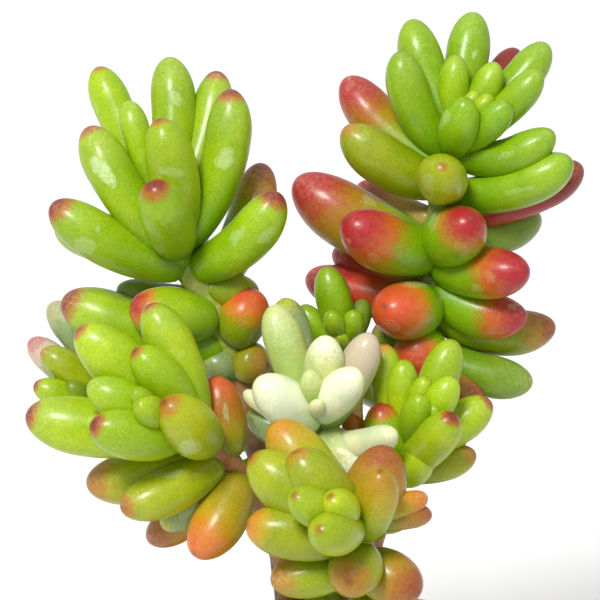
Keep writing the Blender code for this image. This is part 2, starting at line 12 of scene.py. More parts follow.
import bpy
import numpy as np
from mathutils import Matrix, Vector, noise


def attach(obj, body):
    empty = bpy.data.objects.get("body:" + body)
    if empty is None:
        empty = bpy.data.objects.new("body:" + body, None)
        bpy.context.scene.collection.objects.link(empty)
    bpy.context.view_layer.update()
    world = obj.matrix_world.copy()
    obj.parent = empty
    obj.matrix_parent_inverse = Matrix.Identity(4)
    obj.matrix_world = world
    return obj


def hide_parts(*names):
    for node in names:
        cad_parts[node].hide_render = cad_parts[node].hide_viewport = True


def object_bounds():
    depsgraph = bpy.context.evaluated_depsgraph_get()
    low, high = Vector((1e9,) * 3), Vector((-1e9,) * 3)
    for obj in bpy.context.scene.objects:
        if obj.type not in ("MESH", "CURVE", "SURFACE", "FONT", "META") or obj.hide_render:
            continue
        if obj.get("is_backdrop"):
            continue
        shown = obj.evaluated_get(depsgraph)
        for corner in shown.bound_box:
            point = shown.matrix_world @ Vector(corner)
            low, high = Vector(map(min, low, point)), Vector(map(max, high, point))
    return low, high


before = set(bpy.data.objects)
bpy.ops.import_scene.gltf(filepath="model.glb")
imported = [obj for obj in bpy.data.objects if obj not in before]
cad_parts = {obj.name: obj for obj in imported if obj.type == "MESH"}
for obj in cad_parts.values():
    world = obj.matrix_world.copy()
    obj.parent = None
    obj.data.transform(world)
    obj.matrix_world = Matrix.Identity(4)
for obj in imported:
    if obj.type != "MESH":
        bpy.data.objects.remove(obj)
cad_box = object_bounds()

MM = 0.001
SEED = 27

# The front view, as the frame's leafy stems have it. Columns and rows are in pixels of PIXEL millimetres at
# its middle plane, and RIM_COLUMN and RIM_ROW are where it has the middle of the pot's rim.
EYE_ELEVATION = math.radians(35.0)
EYE_DISTANCE = 500.0
PIXEL = 0.16
PICTURE = 600.0
VIEW_MIDDLE = 300.0
VIEW_BOTTOM = 600.0
RIM_COLUMN = 310.0
RIM_ROW = 712.0
SENSOR = 36.0
NEAREST_SEEN = 10.0

# The clay pot and the soil
POT_HEIGHT = 54.0
POT_FOOT_RADIUS = 19.5
POT_SHOULDER_RADIUS = 25.5
POT_BAND_RADIUS = 28.0
POT_RIM_RADIUS = 28.5
POT_RIM_DEPTH = 13.0
POT_WALL = 3.0
POT_FLOOR = 4.0
POT_SIDES = 32
GAP = 0.3
SOIL_BELOW_RIM = 6.0
SOIL_TOP = POT_HEIGHT - SOIL_BELOW_RIM
SOIL_DOME = 1.6
SOIL_LUMP = 0.55
SOIL_WAVE_ACROSS = 11.4
SOIL_WAVE_ALONG = 10.1
DRAIN_COUNT = 3
DRAIN_RADIUS = 2.6
DRAIN_CIRCLE = 9.5
DRAIN_TURN = math.radians(30.0)

# How finely the pot and the soil are made, and how soft the pot's edges are
POT_SKIN_SIDES = 180
POT_SOFTNESS = 0.9
POT_EDGE_STEPS = 8
POT_SHARP = math.radians(50.0)
DRAIN_SIDES = 48
SOIL_SKIN_SIDES = 180
SOIL_SKIN_RINGS = 60
CRUMB_SIZE = 1.6
CRUMB_HEIGHT = 0.45
CRUMB_DETAIL = (0.9, 2.0, 4)
GRIT_COUNT = 420
GRIT_SIZE = (0.45, 1.7)
GRIT_ROUGHNESS = 0.22
GRIT_SMALLNESS = 2.5
GRIT_FLATNESS = (0.6, 1.0)
GRIT_TONE = (0.75, 1.2)
GRIT_STAND = 0.15

# The stems: how much thicker they are at the foot and thinner at the tip, and how deep they start
STEM_FOOT_SHARE = 1.3
STEM_TIP_SHARE = 0.6
STEM_TAPER = 6.0
STEM_DEPTH = 12.0
STEM_RISE = 5.0
STEM_STEP = 6.0

# The leaves: a neck, then a belly, then a round end, measured at SAMPLES points. A leaf that points nearly
# along its stem has less than LEAST_UPPER to show which of its sides is the upper one.
LEAF_ROOT_SHARE = 0.48
LEAF_FULLNESS = 0.6
LEAF_CAP_GIRTHS = 0.9
LEAF_CAP_MOST = 0.5
LEAF_BOW = 0.14
LEAF_THICKNESS = 0.96
LEAST_UPPER = 0.2
SAMPLES = 9

# The leaves that the front view hides: one every HIDDEN_STEP down the stem, each turned by the golden angle.
# Their pitch and length swing by a share of HIDDEN_SPREAD, so far in their beat from one leaf to the next.
GOLDEN_ANGLE = math.radians(137.5)
HIDDEN_STEP = 1.9
HIDDEN_START = 3.0
HIDDEN_BARE = 14.0
HIDDEN_LENGTH = 16.5
HIDDEN_GIRTH = 6.8
HIDDEN_PITCH = math.radians(55.0)
HIDDEN_DROOP = math.radians(45.0)
HIDDEN_DROOP_LENGTH = 35.0
HIDDEN_SPREAD = 0.14
HIDDEN_PITCH_BEAT = 2.3
HIDDEN_LENGTH_BEAT = 1.7
HIDDEN_CROWDING = 0.6
HIDDEN_CLEARANCE = 0.9

# How finely the leaves and stems are made
SKIN_SIDES = 36
ROOT_RINGS = 5
NECK_RINGS = 18
CAP_RINGS = 14
STEM_SKIN_SIDES = 28
STEM_SKIN_STEP = 0.45

# The share of a leaf's length over which its root rounds off, how uneven a leaf is, as a share of its
# radius, with the waves along it and their slant, and how far inside the frame's box every leaf stays
LEAF_ROOT_ROUND = 0.10
WOBBLE = 0.034
WOBBLE_WAVES = 1.5
WOBBLE_SLANT = 0.2
BOX_MARGIN = 0.01

# A stem is a share slimmer than the frame's, which leaves room for the scars of the leaves that it has shed.
# Places in a scar, with their widths, are shares of its size. The growing tip has no scars.
STEM_SLIMMER = 0.06
SCAR_STEP = 2.3
SCAR_SIZE = 1.15
SCAR_HEIGHT = 0.16
SCAR_RIM = (0.8, 0.25)
SCAR_HOLLOW = (0.0, 0.5)
SCAR_HOLLOW_DEPTH = 0.5
SCAR_STAIN = (0.75, 0.3)
SCARRED_FROM = 8.0
SCARLESS_TIP = 2.0

# How far below its tip a stem starts to turn pink, is pink, and is brown
STEM_AGE = (8.0, 18.0, 40.0)
STEM_AGES = {
    "shoot_back_left": (24.0, 30.0, 46.0),
    "shoot_back_right": (30.0, 44.0, 60.0),
    "shoot_left": (4.0, 10.0, 60.0),
    "shoot_front": (8.0, 12.0, 20.0),
}

# How leaves differ from one another, how far from its root each is darker, and the shares of red, green and
# blue that it loses at its root. That darkening is partly the leaf's own deeper green and partly painted
# shade of the creases where leaves meet the stem.
BODY_TONE = (0.92, 1.08)
BODY_WARMTH = (0.95, 1.06)
NECK_GREEN_AND_SHADE_REACH = 0.6
NECK_GREEN_AND_SHADE_LOSS = (0.36, 0.22, 0.50)

# How sharply a leaf ripens towards its tip, how much more on its sunny side, and the dark point at its end
RIPE_CURVE = 0.8
SUN_BLUSH = 0.08
POINT_SIZE = 0.5
POINT_LEAST = 0.3

# Pale frost on the ends of leaves, where they face the eye and the light above it: partly wax bloom and
# partly a painted highlight
FROST_HIGHLIGHT_FROM = 0.6
LIGHTWARD_LIFT = 0.35
FROST_HIGHLIGHT_SHARE = (0.2, 1.0)

# Wax on leaves that have no patches of their own: the share of them that has some, the ranges of its half
# length and half width, and the range of its cover
WAXED_SHARE = 0.4
WAX_LENGTH = (1.0, 2.6)
WAX_WIDTH = (0.7, 1.5)
WAX_COVER = (0.12, 0.4)

# Leaf and stem colours
LIME = (0.36, 0.51, 0.005)
GREEN = (0.305, 0.48, 0.005)
GRASS_GREEN = (0.235, 0.415, 0.003)
DEEP_GREEN = (0.18, 0.29, 0.012)
SAGE = (0.29, 0.37, 0.15)
MOSS = (0.32, 0.38, 0.004)
GOLD_GREEN = (0.41, 0.46, 0.006)
OLIVE_LIME = (0.37, 0.47, 0.007)
KHAKI = (0.33, 0.30, 0.012)
MINT_GREEN = (0.42, 0.53, 0.13)
IVORY_GREEN = (0.54, 0.61, 0.24)
IVORY = (0.80, 0.84, 0.58)
BUTTER = (0.72, 0.72, 0.42)
MAUVE = (0.44, 0.37, 0.20)
PINK_GREY = (0.56, 0.47, 0.34)
HONEY = (0.47, 0.34, 0.012)
TAN = (0.42, 0.22, 0.014)
RUSSET = (0.38, 0.15, 0.012)
TANGERINE = (0.60, 0.20, 0.014)
SCARLET = (0.62, 0.085, 0.022)
FLAME_RED = (0.54, 0.13, 0.014)
CRIMSON = (0.40, 0.014, 0.022)
ROSE = (0.52, 0.19, 0.12)
PEACH = (0.72, 0.44, 0.16)
RASPBERRY = (0.44, 0.13, 0.15)
CHESTNUT = (0.31, 0.055, 0.018)
MAROON = (0.23, 0.018, 0.014)
LEAF_SCORCH = (0.13, 0.03, 0.012)
WAX = (0.56, 0.70, 0.36)
WAX_RIM = (0.80, 0.88, 0.62)
# The pale of the frost on the leaf ends: partly wax bloom, partly a painted highlight
FROST_HIGHLIGHT_COLOUR = (0.80, 0.78, 0.50)
STEM_GREEN = (0.38, 0.44, 0.07)
STEM_PINK = (0.42, 0.18, 0.06)
STEM_BROWN = (0.17, 0.095, 0.045)

# Colours of the grit, with the share of it that has each, and of the pot, the soil and marks on the stems
GRIT_COLOURS = (
    (0.10, 0.065, 0.040), (0.055, 0.036, 0.025), (0.20, 0.13, 0.075), (0.38, 0.33, 0.27), (0.62, 0.59, 0.53),
    (0.22, 0.085, 0.055),
)
GRIT_SHARES = (0.34, 0.24, 0.16, 0.11, 0.07, 0.08)
CLAY_LIGHT = (0.52, 0.215, 0.105)
CLAY_DARK = (0.40, 0.150, 0.072)
CLAY_SAND = (0.60, 0.31, 0.18)
CLAY_SPECK = (0.20, 0.085, 0.05)
CLAY_LIME = (0.66, 0.50, 0.40)
EARTH_LIGHT = (0.075, 0.048, 0.030)
EARTH_DARK = (0.030, 0.019, 0.013)
EARTH_CRUMB = (0.14, 0.095, 0.060)
STEM_SCAR = (0.30, 0.22, 0.13)
STEM_FLECK = (0.46, 0.34, 0.20)

# Tints of patterns in the skins, as shares of the colour that they lie on
GRAIN_DARK = (0.80, 0.83, 0.70)
GRAIN_LIGHT = (1.08, 1.055, 1.06)
CLOUD_TINT = (0.80, 0.88, 0.9)
YELLOW_TINT = (1.28, 1.08, 1.0)
STIPPLE_TINT = (0.6, 0.5, 0.5)
PORE_TINT = (1.35, 1.25, 2.2)
STEM_TINT = (0.72, 0.72, 0.7)
DAMP_TINT = (0.52, 0.45, 0.42)
GRIT_TINT = (0.6, 0.6, 0.6)

# Soft noise in the skins: the size of its blotches in millimetres, its detail and its roughness
LEAF_CLOUD = (6.0, 2.0, 0.5)
LEAF_BLOTCH = (1.6, 3.0, 0.6)
LEAF_GRAIN = (0.34, 4.0, 0.7)
LEAF_FLAKE = (0.5, 3.0, 0.6)
FROST_HIGHLIGHT_GRAIN = (0.6, 3.0, 0.7)
WAX_EDGE = (2.4, 2.0, 0.5)
WAX_RIM_BREAKS = (1.2, 2.0, 0.5)
STEM_BLOTCH = (1.3, 3.0, 0.6)
STEM_GRAIN = (0.3, 3.0, 0.6)
CLAY_CLOUD = (14.0, 4.0, 0.6)
CLAY_BLOTCH = (3.0, 4.0, 0.65)
CLAY_GRAIN = (0.35, 3.0, 0.7)
EARTH_BLOTCH = (2.2, 4.0, 0.7)
EARTH_GRAIN = (0.4, 4.0, 0.7)
GRIT_GRAIN = (0.3, 3.0, 0.7)
FLOOR_CLOUD = (180.0, 2.0, 0.5)

# Scattered dots in the skins: their spacing in millimetres, and their reach as a share of it
LEAF_STIPPLES = (0.34, 0.36)
LEAF_PORES = (0.42, 0.30)
STEM_FLECKS = (0.7, 0.25)
CLAY_SPECKS = (1.3, 0.16)

# Smooth changes in the skins: the values where each begins and ends, and what it goes from and to, where
# that isn't 0 and 1. The first ones of the damp and the lime on the pot are heights, in metres.
NOISE_SPAN = (0.3, 0.7)
NARROW_SPAN = (0.35, 0.65)
YELLOWING = (0.40, 0.75, 0.0, 0.5)
TURNING = (0.05, 0.50)
RIPENING = (0.42, 0.92)
STIPPLING = (0.1, 0.6, 0.0, 0.45)
GRAIN_SPAN = (0.34, 0.66)
GRAIN_ON_JUICY = (0.0, 1.0, 0.35, 1.0)
PORES_SEEN = (0.35, 0.6, 0.10, 0.32)
FROST_HIGHLIGHT_SEEN = (0.4, 0.75, 0.05, 0.34)
WAX_START = (0.0, 0.05)
WAX_RIM_END = (0.05, 0.12, 1.0, 0.0)
WAX_RIM_KEPT = (0.42, 0.58)
WAX_DEEPENS = (0.0, 0.32)
WAX_FLAKES = (0.3, 0.65, 0.45, 1.0)
SANDINESS = (0.45, 0.75, 0.0, 0.5)
DAMP_TO_DRY = (4.0 * MM, 30.0 * MM, 1.0, 0.0)
LIME_FROM = (18.0 * MM, 34.0 * MM)
LIME_LESS = (36.0 * MM, 56.0 * MM, 1.0, 0.35)
DAMP_SEEN = (0.2, 0.9, 0.0, 0.45)
LIME_SEEN = (0.46, 0.72, 0.0, 0.55)
CRUMBLINESS = (0.5, 0.75, 0.0, 0.6)
GRIT_SPAN = (0.35, 0.7)

# How far noise makes an edge stray: that of a ripe tip by blotches and by grain, that of the wax by a noise
# of its own and by flakes, and that of the pot's damp foot
RIPE_STRAY = (0.50, 0.95)
WAX_STRAY = (1.3, 0.16)
DAMP_STRAY = 1.6

# A tip's edge strays where the leaf is neither green nor as ripe as RIPE_LIMIT, and RIPE_ZONE is how soon
RIPE_LIMIT = 1.15
RIPE_ZONE = 4.0

# How much of each pattern shows
POINT_SHARE = 0.8
WAX_RIM_SHARE = 0.42
SCAR_SHARE = 0.5
FLECK_SHARE = 0.3
SPECK_SHARE = 0.6

# Roughness from one end of a noise to the other, the weight of each pattern in the bumps, and their depth
LEAF_ROUGHNESS = (0.28, 0.38)
WAX_ROUGHNESS = 0.25
LEAF_BUMPS = (0.5, 0.25, 0.5, 0.4)
LEAF_BUMP_DEPTH = 0.09
STEM_ROUGHNESS = (0.45, 0.62)
STEM_BUMPS = (1.0, 0.4)
STEM_BUMP_DEPTH = 0.18
CLAY_ROUGHNESS = (0.82, 0.95)
CLAY_BUMPS = (0.6, 1.0)
CLAY_BUMP_DEPTH = 0.12
EARTH_BUMP_DEPTH = 0.5
GRIT_BUMP_DEPTH = 0.12

# The stage
FLOOR_SIZE = 6000.0
FLOOR_DROP = 0.2
FLOOR_COLOUR = (0.90, 0.90, 0.89)
FLOOR_SHADE = tuple(0.985 * share for share in FLOOR_COLOUR)
SKY_COLOUR = (1.0, 1.0, 1.0)
SKY_STRENGTH = 0.64
KEY_DISTANCE = 1400.0
KEY_SIZE = 400.0
KEY_POWER = 19.0
KEY_UP = 0.66
KEY_LEFT = 0.30

# A look: the colour of the leaf's body, the one that it turns through, the one of its ripe tip, how ripe the
# tip is, the share of the leaf's length, from its tip, that has turned, and how dark its very point is.
Look = namedtuple("Look", "body turning ripe amount reach pointed", defaults=(1.0,))
PLAIN = Look(GREEN, MOSS, CHESTNUT, 0.10, 0.04)
GRASSY = Look(GRASS_GREEN, MOSS, CHESTNUT, 0.10, 0.04)
FRESH = Look(LIME, GOLD_GREEN, TAN, 0.15, 0.05)
DOTTED = Look(LIME, TAN, CHESTNUT, 0.75, 0.05)
FAINT = Look(GREEN, TAN, CHESTNUT, 0.60, 0.06)
FAINT_ORANGE = Look(LIME, HONEY, TANGERINE, 0.70, 0.10)
TIPPED = Look(GREEN, RUSSET, MAROON, 0.90, 0.10)
TIPPED_FRESH = Look(LIME, RUSSET, MAROON, 0.85, 0.09)
HALO = Look(GREEN, RUSSET, MAROON, 0.85, 0.13)
HALO_OLIVE = Look(GOLD_GREEN, TAN, CHESTNUT, 0.65, 0.14)
RED_TIP = Look(GREEN, RUSSET, MAROON, 1.00, 0.14)
ORANGE_TIP = Look(GREEN, TANGERINE, CRIMSON, 0.85, 0.24)
ORANGE_OLIVE = Look(MOSS, HONEY, TANGERINE, 0.80, 0.26)
ORANGE_END = Look(GRASS_GREEN, TANGERINE, SCARLET, 1.00, 0.66)
RED_END = Look(GRASS_GREEN, FLAME_RED, CRIMSON, 1.00, 0.62)
RED_CAP = Look(GRASS_GREEN, TAN, CRIMSON, 1.00, 0.42)
SUNSET = Look(GREEN, TAN, CRIMSON, 0.95, 0.82)
RED = Look(TAN, SCARLET, CRIMSON, 1.00, 1.10)
DEEP_RED = Look(SCARLET, CRIMSON, MAROON, 1.00, 1.10)
PINK = Look(PEACH, ROSE, CRIMSON, 0.90, 0.60)
SUNBURNT = Look(KHAKI, RUSSET, SCARLET, 0.74, 0.95)
AMBER = Look(HONEY, TANGERINE, SCARLET, 0.62, 0.55)
AMBER_GREEN = Look(GOLD_GREEN, HONEY, TANGERINE, 0.70, 0.50)
AMBER_OLIVE = Look(MOSS, HONEY, TAN, 0.85, 0.70)
RUST = Look(KHAKI, TAN, CHESTNUT, 0.78, 0.85)
RUSTY = Look(MOSS, TAN, MAROON, 0.80, 0.45)
BROWN_GOLD = Look(GOLD_GREEN, TAN, CHESTNUT, 0.60, 0.40)
BROWN_OLIVE = Look(MOSS, TAN, CHESTNUT, 0.55, 0.40)
OLIVE = Look(MOSS, TAN, CHESTNUT, 0.45, 0.12)
BUTTON = Look(MOSS, TAN, CHESTNUT, 0.40, 0.03)
SOFT_OLIVE = Look(OLIVE_LIME, TAN, CHESTNUT, 0.35, 0.04)
MOSSY = Look(MOSS, TAN, CHESTNUT, 0.55, 0.05)
BRONZE = Look(MOSS, TAN, CHESTNUT, 0.70, 0.24)
FLAME = Look(MOSS, TANGERINE, SCARLET, 0.88, 0.68)
# A leaf deep in a crown, so dark that its colour is painted shade of the crown round it
PAINTED_SHADE_OLIVE = Look(DEEP_GREEN, KHAKI, CHESTNUT, 0.50, 0.30)
PALE_OLIVE = Look(SAGE, GOLD_GREEN, HONEY, 0.40, 0.20)
DARK = Look(DEEP_GREEN, MOSS, CHESTNUT, 0.20, 0.06)
KHAKI_LEAF = Look(KHAKI, TAN, RUSSET, 0.50, 0.60)
GREY = Look(SAGE, MAUVE, ROSE, 0.35, 0.30, 0.0)
LILAC = Look(IVORY_GREEN, PINK_GREY, PINK_GREY, 0.70, 0.80, 0.0)
LILAC_TIP = Look(SAGE, PINK_GREY, RASPBERRY, 0.80, 0.50, 0.0)
MINT = Look(MINT_GREEN, IVORY_GREEN, IVORY_GREEN, 0.50, 0.60, 0.0)
PALE = Look(IVORY_GREEN, IVORY, BUTTER, 0.50, 0.40, 0.0)
WHITE = Look(IVORY, IVORY, IVORY, 0.50, 0.40, 0.0)
CREAM = Look(BUTTER, BUTTER, ROSE, 0.30, 0.15, 0.0)

Mark = namedtuple("Mark", "column row toward")
Leaf = namedtuple("Leaf", "down column row toward girth look bow sway", defaults=(LEAF_BOW, 0.0))
Shoot = namedtuple("Shoot", "name hidden_look foot stem hidden_turn marks leaves patches", defaults=((),))
Limb = namedtuple("Limb", "line radii upper")
Patch = namedtuple("Patch", "leaf column row long wide tilt cover", defaults=(0.3,))

# A shoot: the look of its hidden leaves, the place where its stem leaves the soil, the stem's radius, and how
# far the first hidden leaf is turned round it.
# Each mark is a point of a stem: its column and row in the front view, and its depth towards the eye.
# Each leaf is rooted so far down from the growing tip, and has its own tip at a column and row of the
# front view, so much nearer to the eye than its root. Then come its greatest girth and its look, and, where
# it isn't the usual one, how much it bows, and how much it sways to the right in that view.
# Each patch is a place where a leaf's waxy bloom shows pale: the leaf's number, counted from 0, the patch's
# column, row, half length, half width and tilt in the front view, in pixels and degrees, and its cover.
SHOOTS = (
    Shoot(
        "shoot_back_left", TIPPED, (-3.4, 8.0), 2.3, 0.4,
        (
            Mark(292, 610, 2), Mark(276, 500, 17), Mark(257, 437, 22), Mark(242, 375, 26), Mark(220, 325, 29),
            Mark(199, 285, 31), Mark(174, 245, 32), Mark(158, 205, 33),
        ),
        (
            Leaf(2.0, 97, 67, -7, 6.0, FAINT), Leaf(11.0, 88, 127, 3, 7.0, TIPPED, 0.2, -0.1),
            Leaf(1.0, 127, 101, 1, 4.3, PLAIN), Leaf(1.5, 168, 57, -6, 6.9, PLAIN),
            Leaf(7.0, 158, 119, 9, 7.7, DOTTED), Leaf(3.0, 217, 71, -7, 6.2, TIPPED),
            Leaf(7.5, 230, 89, 3, 7.1, TIPPED, 0.2), Leaf(7.0, 152, 184, 16, 7.8, HALO),
            Leaf(10.5, 52, 203, 6, 7.8, RED_TIP, 0.16), Leaf(11.0, 277, 192, 7, 7.6, RED_TIP, 0.24),
            Leaf(16.0, 262, 163, -7, 6.8, RUSTY), Leaf(15.5, 117, 288, -5, 5.0, DARK),
            Leaf(19.0, 132, 303, 6, 9.0, ORANGE_TIP), Leaf(13.5, 258, 290, -4, 6.2, OLIVE),
            Leaf(23.5, 250, 289, 3, 8.4, FLAME), Leaf(26.0, 268, 365, 2, 6.6, KHAKI_LEAF),
            Leaf(28.0, 203, 358, 3, 5.6, PALE_OLIVE), Leaf(25.0, 62, 299, 1, 9.0, RED_TIP, 0.08),
        ),
        (
            Patch(0, 96, 107, 6, 4, 70), Patch(1, 103, 172, 18, 8, 48, 0.8),
            Patch(3, 176, 99, 9, 7, 60, 0.45), Patch(4, 170, 172, 14, 5, 10),
            Patch(6, 225, 159, 14, 9, -65, 0.5), Patch(7, 167, 221, 6, 3, -15, 0.1),
            Patch(7, 157, 249, 12, 4, 5, 0.15), Patch(8, 84, 245, 12, 9, 20), Patch(8, 98, 229, 5, 3, -70),
            Patch(9, 267, 235, 9, 7, -40), Patch(9, 237, 236, 12, 6, -60),
        ),
    ),
    Shoot(
        "shoot_back_right", SUNSET, (4.0, 7.0), 1.9, 2.1,
        (
            Mark(348, 610, 7), Mark(379, 500, 18), Mark(404, 420, 20), Mark(422, 350, 21), Mark(432, 280, 22),
            Mark(438, 220, 24), Mark(447, 170, 26), Mark(460, 125, 28),
        ),
        (
            Leaf(1.0, 412, 19, -3, 6.8, GRASSY), Leaf(5.0, 401, 51, 5, 6.6, GRASSY, 0.2),
            Leaf(0.5, 475, 12, -5, 6.6, GRASSY), Leaf(0.5, 458, 55, 2, 5.0, PLAIN),
            Leaf(0.5, 495, 62, 2, 4.9, PLAIN), Leaf(1.5, 547, 43, -3, 6.0, GRASSY),
            Leaf(3.0, 540, 70, 5, 5.2, GRASSY), Leaf(4.0, 467, 99, 10, 6.0, GRASSY),
            Leaf(3.5, 508, 102, 8, 5.2, GRASSY), Leaf(2.0, 517, 49, -10, 5.2, DEEP_RED),
            Leaf(7.0, 346, 77, -4, 7.8, SUNSET, 0.18), Leaf(9.5, 345, 127, 5, 8.1, OLIVE, 0.17),
            Leaf(9.0, 442, 166, 15, 7.8, BUTTON), Leaf(4.5, 553, 131, 6, 6.3, GRASSY, 0.3),
            Leaf(11.0, 571, 158, 7, 7.0, GRASSY, 0.2), Leaf(14.0, 582, 165, -2, 6.8, DEEP_RED, 0.17),
            Leaf(18.0, 540, 215, -6, 7.2, DARK), Leaf(20.0, 296, 178, 1, 10.4, SUNSET),
            Leaf(20.0, 347, 220, 12, 9.6, RED_END), Leaf(15.0, 359, 184, -8, 5.0, PINK),
            Leaf(18.5, 471, 218, 14, 9.2, RED_CAP), Leaf(21.5, 527, 269, 11, 8.4, RED_END),
            Leaf(25.5, 527, 315, 4, 7.8, RED_END, 0.24), Leaf(28.5, 555, 324, -4, 7.4, RUSTY, 0.26),
            Leaf(28.0, 385, 307, 11, 9.5, ORANGE_END), Leaf(32.5, 414, 368, 6, 8.4, ORANGE_END),
            Leaf(35.0, 533, 382, 1, 6.8, DARK), Leaf(37.0, 484, 399, 3, 6.2, RUST),
            Leaf(27.0, 307, 275, -7, 7.4, RED), Leaf(24.0, 334, 250, -8, 6.0, RED),
            Leaf(0.2, 476, 90, 3, 3.2, FRESH), Leaf(1.0, 490, 94, 4, 3.6, FRESH),
            # A dark leaf put in a shaded gap deep in the crown: its darkness is painted shade
            Leaf(32.0, 371, 334, 0, 6.6, PAINTED_SHADE_OLIVE),
        ),
        (
            Patch(2, 442, 51, 5, 3, 80, 0.6), Patch(2, 475, 54, 6, 3, -60, 0.6),
            Patch(7, 445, 118, 12, 5, -70), Patch(12, 428, 186, 13, 6, 75, 0.2),
            Patch(13, 507, 155, 9, 4, -20, 0.2), Patch(14, 520, 190, 16, 3, -12, 0.2),
            Patch(17, 367, 201, 9, 6, 20), Patch(18, 376, 259, 10, 5, 15, 0.12),
            Patch(18, 349, 240, 5, 3, 60, 0.2), Patch(20, 434, 222, 9, 5, -70, 0.15),
            Patch(20, 458, 247, 9, 4, -10, 0.12), Patch(21, 489, 277, 7, 5, 60, 0.12),
            Patch(21, 478, 288, 6, 4, 20, 0.2), Patch(22, 514, 306, 8, 4, -20, 0.25),
            Patch(24, 414, 284, 14, 4, 5), Patch(24, 388, 325, 11, 5, 15, 0.10),
        ),
    ),
    Shoot(
        "shoot_left", TIPPED_FRESH, (-8.0, -1.5), 1.8, 1.2,
        (
            Mark(288, 620, 16), Mark(284, 555, 28), Mark(264, 508, 32), Mark(238, 472, 37),
            Mark(205, 443, 42), Mark(172, 426, 45), Mark(148, 412, 47),
        ),
        (
            Leaf(5.0, 77, 330, 3, 8.2, DOTTED), Leaf(9.0, 148, 305, 3, 7.4, DOTTED),
            Leaf(8.0, 134, 351, 7, 7.2, DOTTED), Leaf(3.0, 88, 384, 4, 6.6, FRESH),
            Leaf(1.5, 133, 391, 8, 3.2, PLAIN), Leaf(2.5, 137, 403, 9, 4.8, PLAIN),
            Leaf(5.5, 26, 414, 0, 8.8, TIPPED_FRESH, 0.17), Leaf(6.5, 92, 424, 9, 8.0, TIPPED_FRESH, 0.12),
            Leaf(11.0, 164, 402, 12, 7.9, HALO_OLIVE), Leaf(15.5, 213, 377, 1, 7.2, SUNBURNT),
            Leaf(13.5, 86, 483, -3, 8.2, BROWN_GOLD), Leaf(14.5, 121, 508, 5, 7.5, HALO_OLIVE),
            Leaf(17.0, 161, 526, 0, 6.0, PALE_OLIVE), Leaf(18.5, 194, 554, 6, 8.4, AMBER, 0.17, -0.02),
            Leaf(18.0, 147, 540, -6, 6.2, RUST),
        ),
        (
            Patch(1, 177, 353, 8, 6, 20, 0.1), Patch(2, 104, 371, 4, 2, 0, 0.7),
            Patch(8, 189, 447, 11, 8, -10, 0.45), Patch(9, 226, 414, 12, 3, 80, 0.35),
            Patch(11, 173, 474, 15, 4, -5), Patch(12, 190, 512, 18, 5, -30),
        ),
    ),
    Shoot(
        "shoot_front", AMBER_OLIVE, (3.5, -9.0), 1.8, 0.0,
        (
            Mark(340, 640, 26), Mark(362, 575, 44), Mark(361, 540, 51), Mark(344, 515, 57),
        ),
        (
            Leaf(4.0, 251, 457, 1, 9.0, MOSSY), Leaf(3.5, 295, 452, 3, 8.4, OLIVE, 0.14, -0.03),
            Leaf(5.0, 273, 422, -2, 8.4, AMBER_GREEN), Leaf(1.0, 294, 495, 7, 6.0, SOFT_OLIVE),
            Leaf(0.5, 330, 496, 6, 5.8, SOFT_OLIVE), Leaf(3.0, 319, 529, 11, 6.9, SOFT_OLIVE),
            Leaf(5.0, 247, 525, 2, 8.5, ORANGE_OLIVE), Leaf(6.5, 380, 471, 8, 6.7, AMBER_OLIVE),
            Leaf(6.5, 385, 445, -2, 9.0, RUST), Leaf(10.0, 349, 583, 8, 7.8, BROWN_OLIVE),
            Leaf(13.0, 419, 593, 3, 8.0, RUST, 0.14, -0.05), Leaf(11.5, 271, 581, 2, 7.4, BROWN_OLIVE),
            Leaf(2.5, 427, 496, -6, 3.7, AMBER, 0.04), Leaf(4.0, 431, 514, -6, 3.6, RUST, -0.06),
        ),
    ),
    Shoot(
        "shoot_right", ORANGE_TIP, (8.0, -2.5), 1.5, 0.7,
        (
            Mark(358, 640, 15), Mark(366, 570, 24), Mark(385, 510, 30), Mark(407, 462, 33),
            Mark(422, 430, 36),
        ),
        (
            Leaf(4.5, 384, 344, 1, 5.4, FAINT_ORANGE), Leaf(4.0, 405, 360, 3, 5.0, FRESH),
            Leaf(3.0, 454, 340, 0, 5.9, FRESH), Leaf(1.0, 427, 377, 4, 3.8, FRESH),
            Leaf(2.0, 454, 377, 6, 4.9, FRESH), Leaf(2.5, 422, 395, 8, 4.8, FRESH),
            Leaf(0.5, 436, 406, 6, 2.8, FRESH), Leaf(4.0, 491, 401, 1, 6.2, TIPPED_FRESH, 0.06),
            Leaf(6.5, 453, 415, 13, 6.2, TIPPED_FRESH), Leaf(7.5, 381, 404, 5, 6.8, ORANGE_TIP),
            Leaf(9.0, 347, 413, 1, 4.2, AMBER), Leaf(8.0, 425, 453, 9, 5.8, FAINT_ORANGE),
            Leaf(8.0, 476, 453, 1, 5.4, BRONZE, 0.06), Leaf(7.5, 464, 440, -7, 4.4, RUST),
        ),
    ),
    Shoot(
        "shoot_young", FRESH, (0.5, 1.5), 1.35, 2.6,
        (
            Mark(318, 610, 11), Mark(342, 500, 17), Mark(354, 420, 21), Mark(351, 370, 24),
            Mark(342, 327, 27),
        ),
        (
            Leaf(2.5, 326, 267, 1, 5.5, GRASSY), Leaf(2.0, 330, 312, 6.5, 3.5, PLAIN),
            Leaf(2.5, 354, 311, 5.5, 3.9, PLAIN), Leaf(3.0, 364, 299, -2, 3.8, DARK),
            Leaf(6.0, 302, 305, 0, 4.2, GRASSY), Leaf(2.0, 339, 336, 5, 3.0, FRESH),
        ),
    ),
    Shoot(
        "shoot_pale", PALE, (-2.5, -4.5), 1.4, 1.9,
        (
            Mark(318, 610, 19), Mark(319, 520, 28), Mark(318, 450, 34), Mark(317, 408, 40),
        ),
        (
            Leaf(3.5, 273, 305, 0, 6.0, MINT), Leaf(4.5, 284, 298, -2, 6.2, PALE_OLIVE),
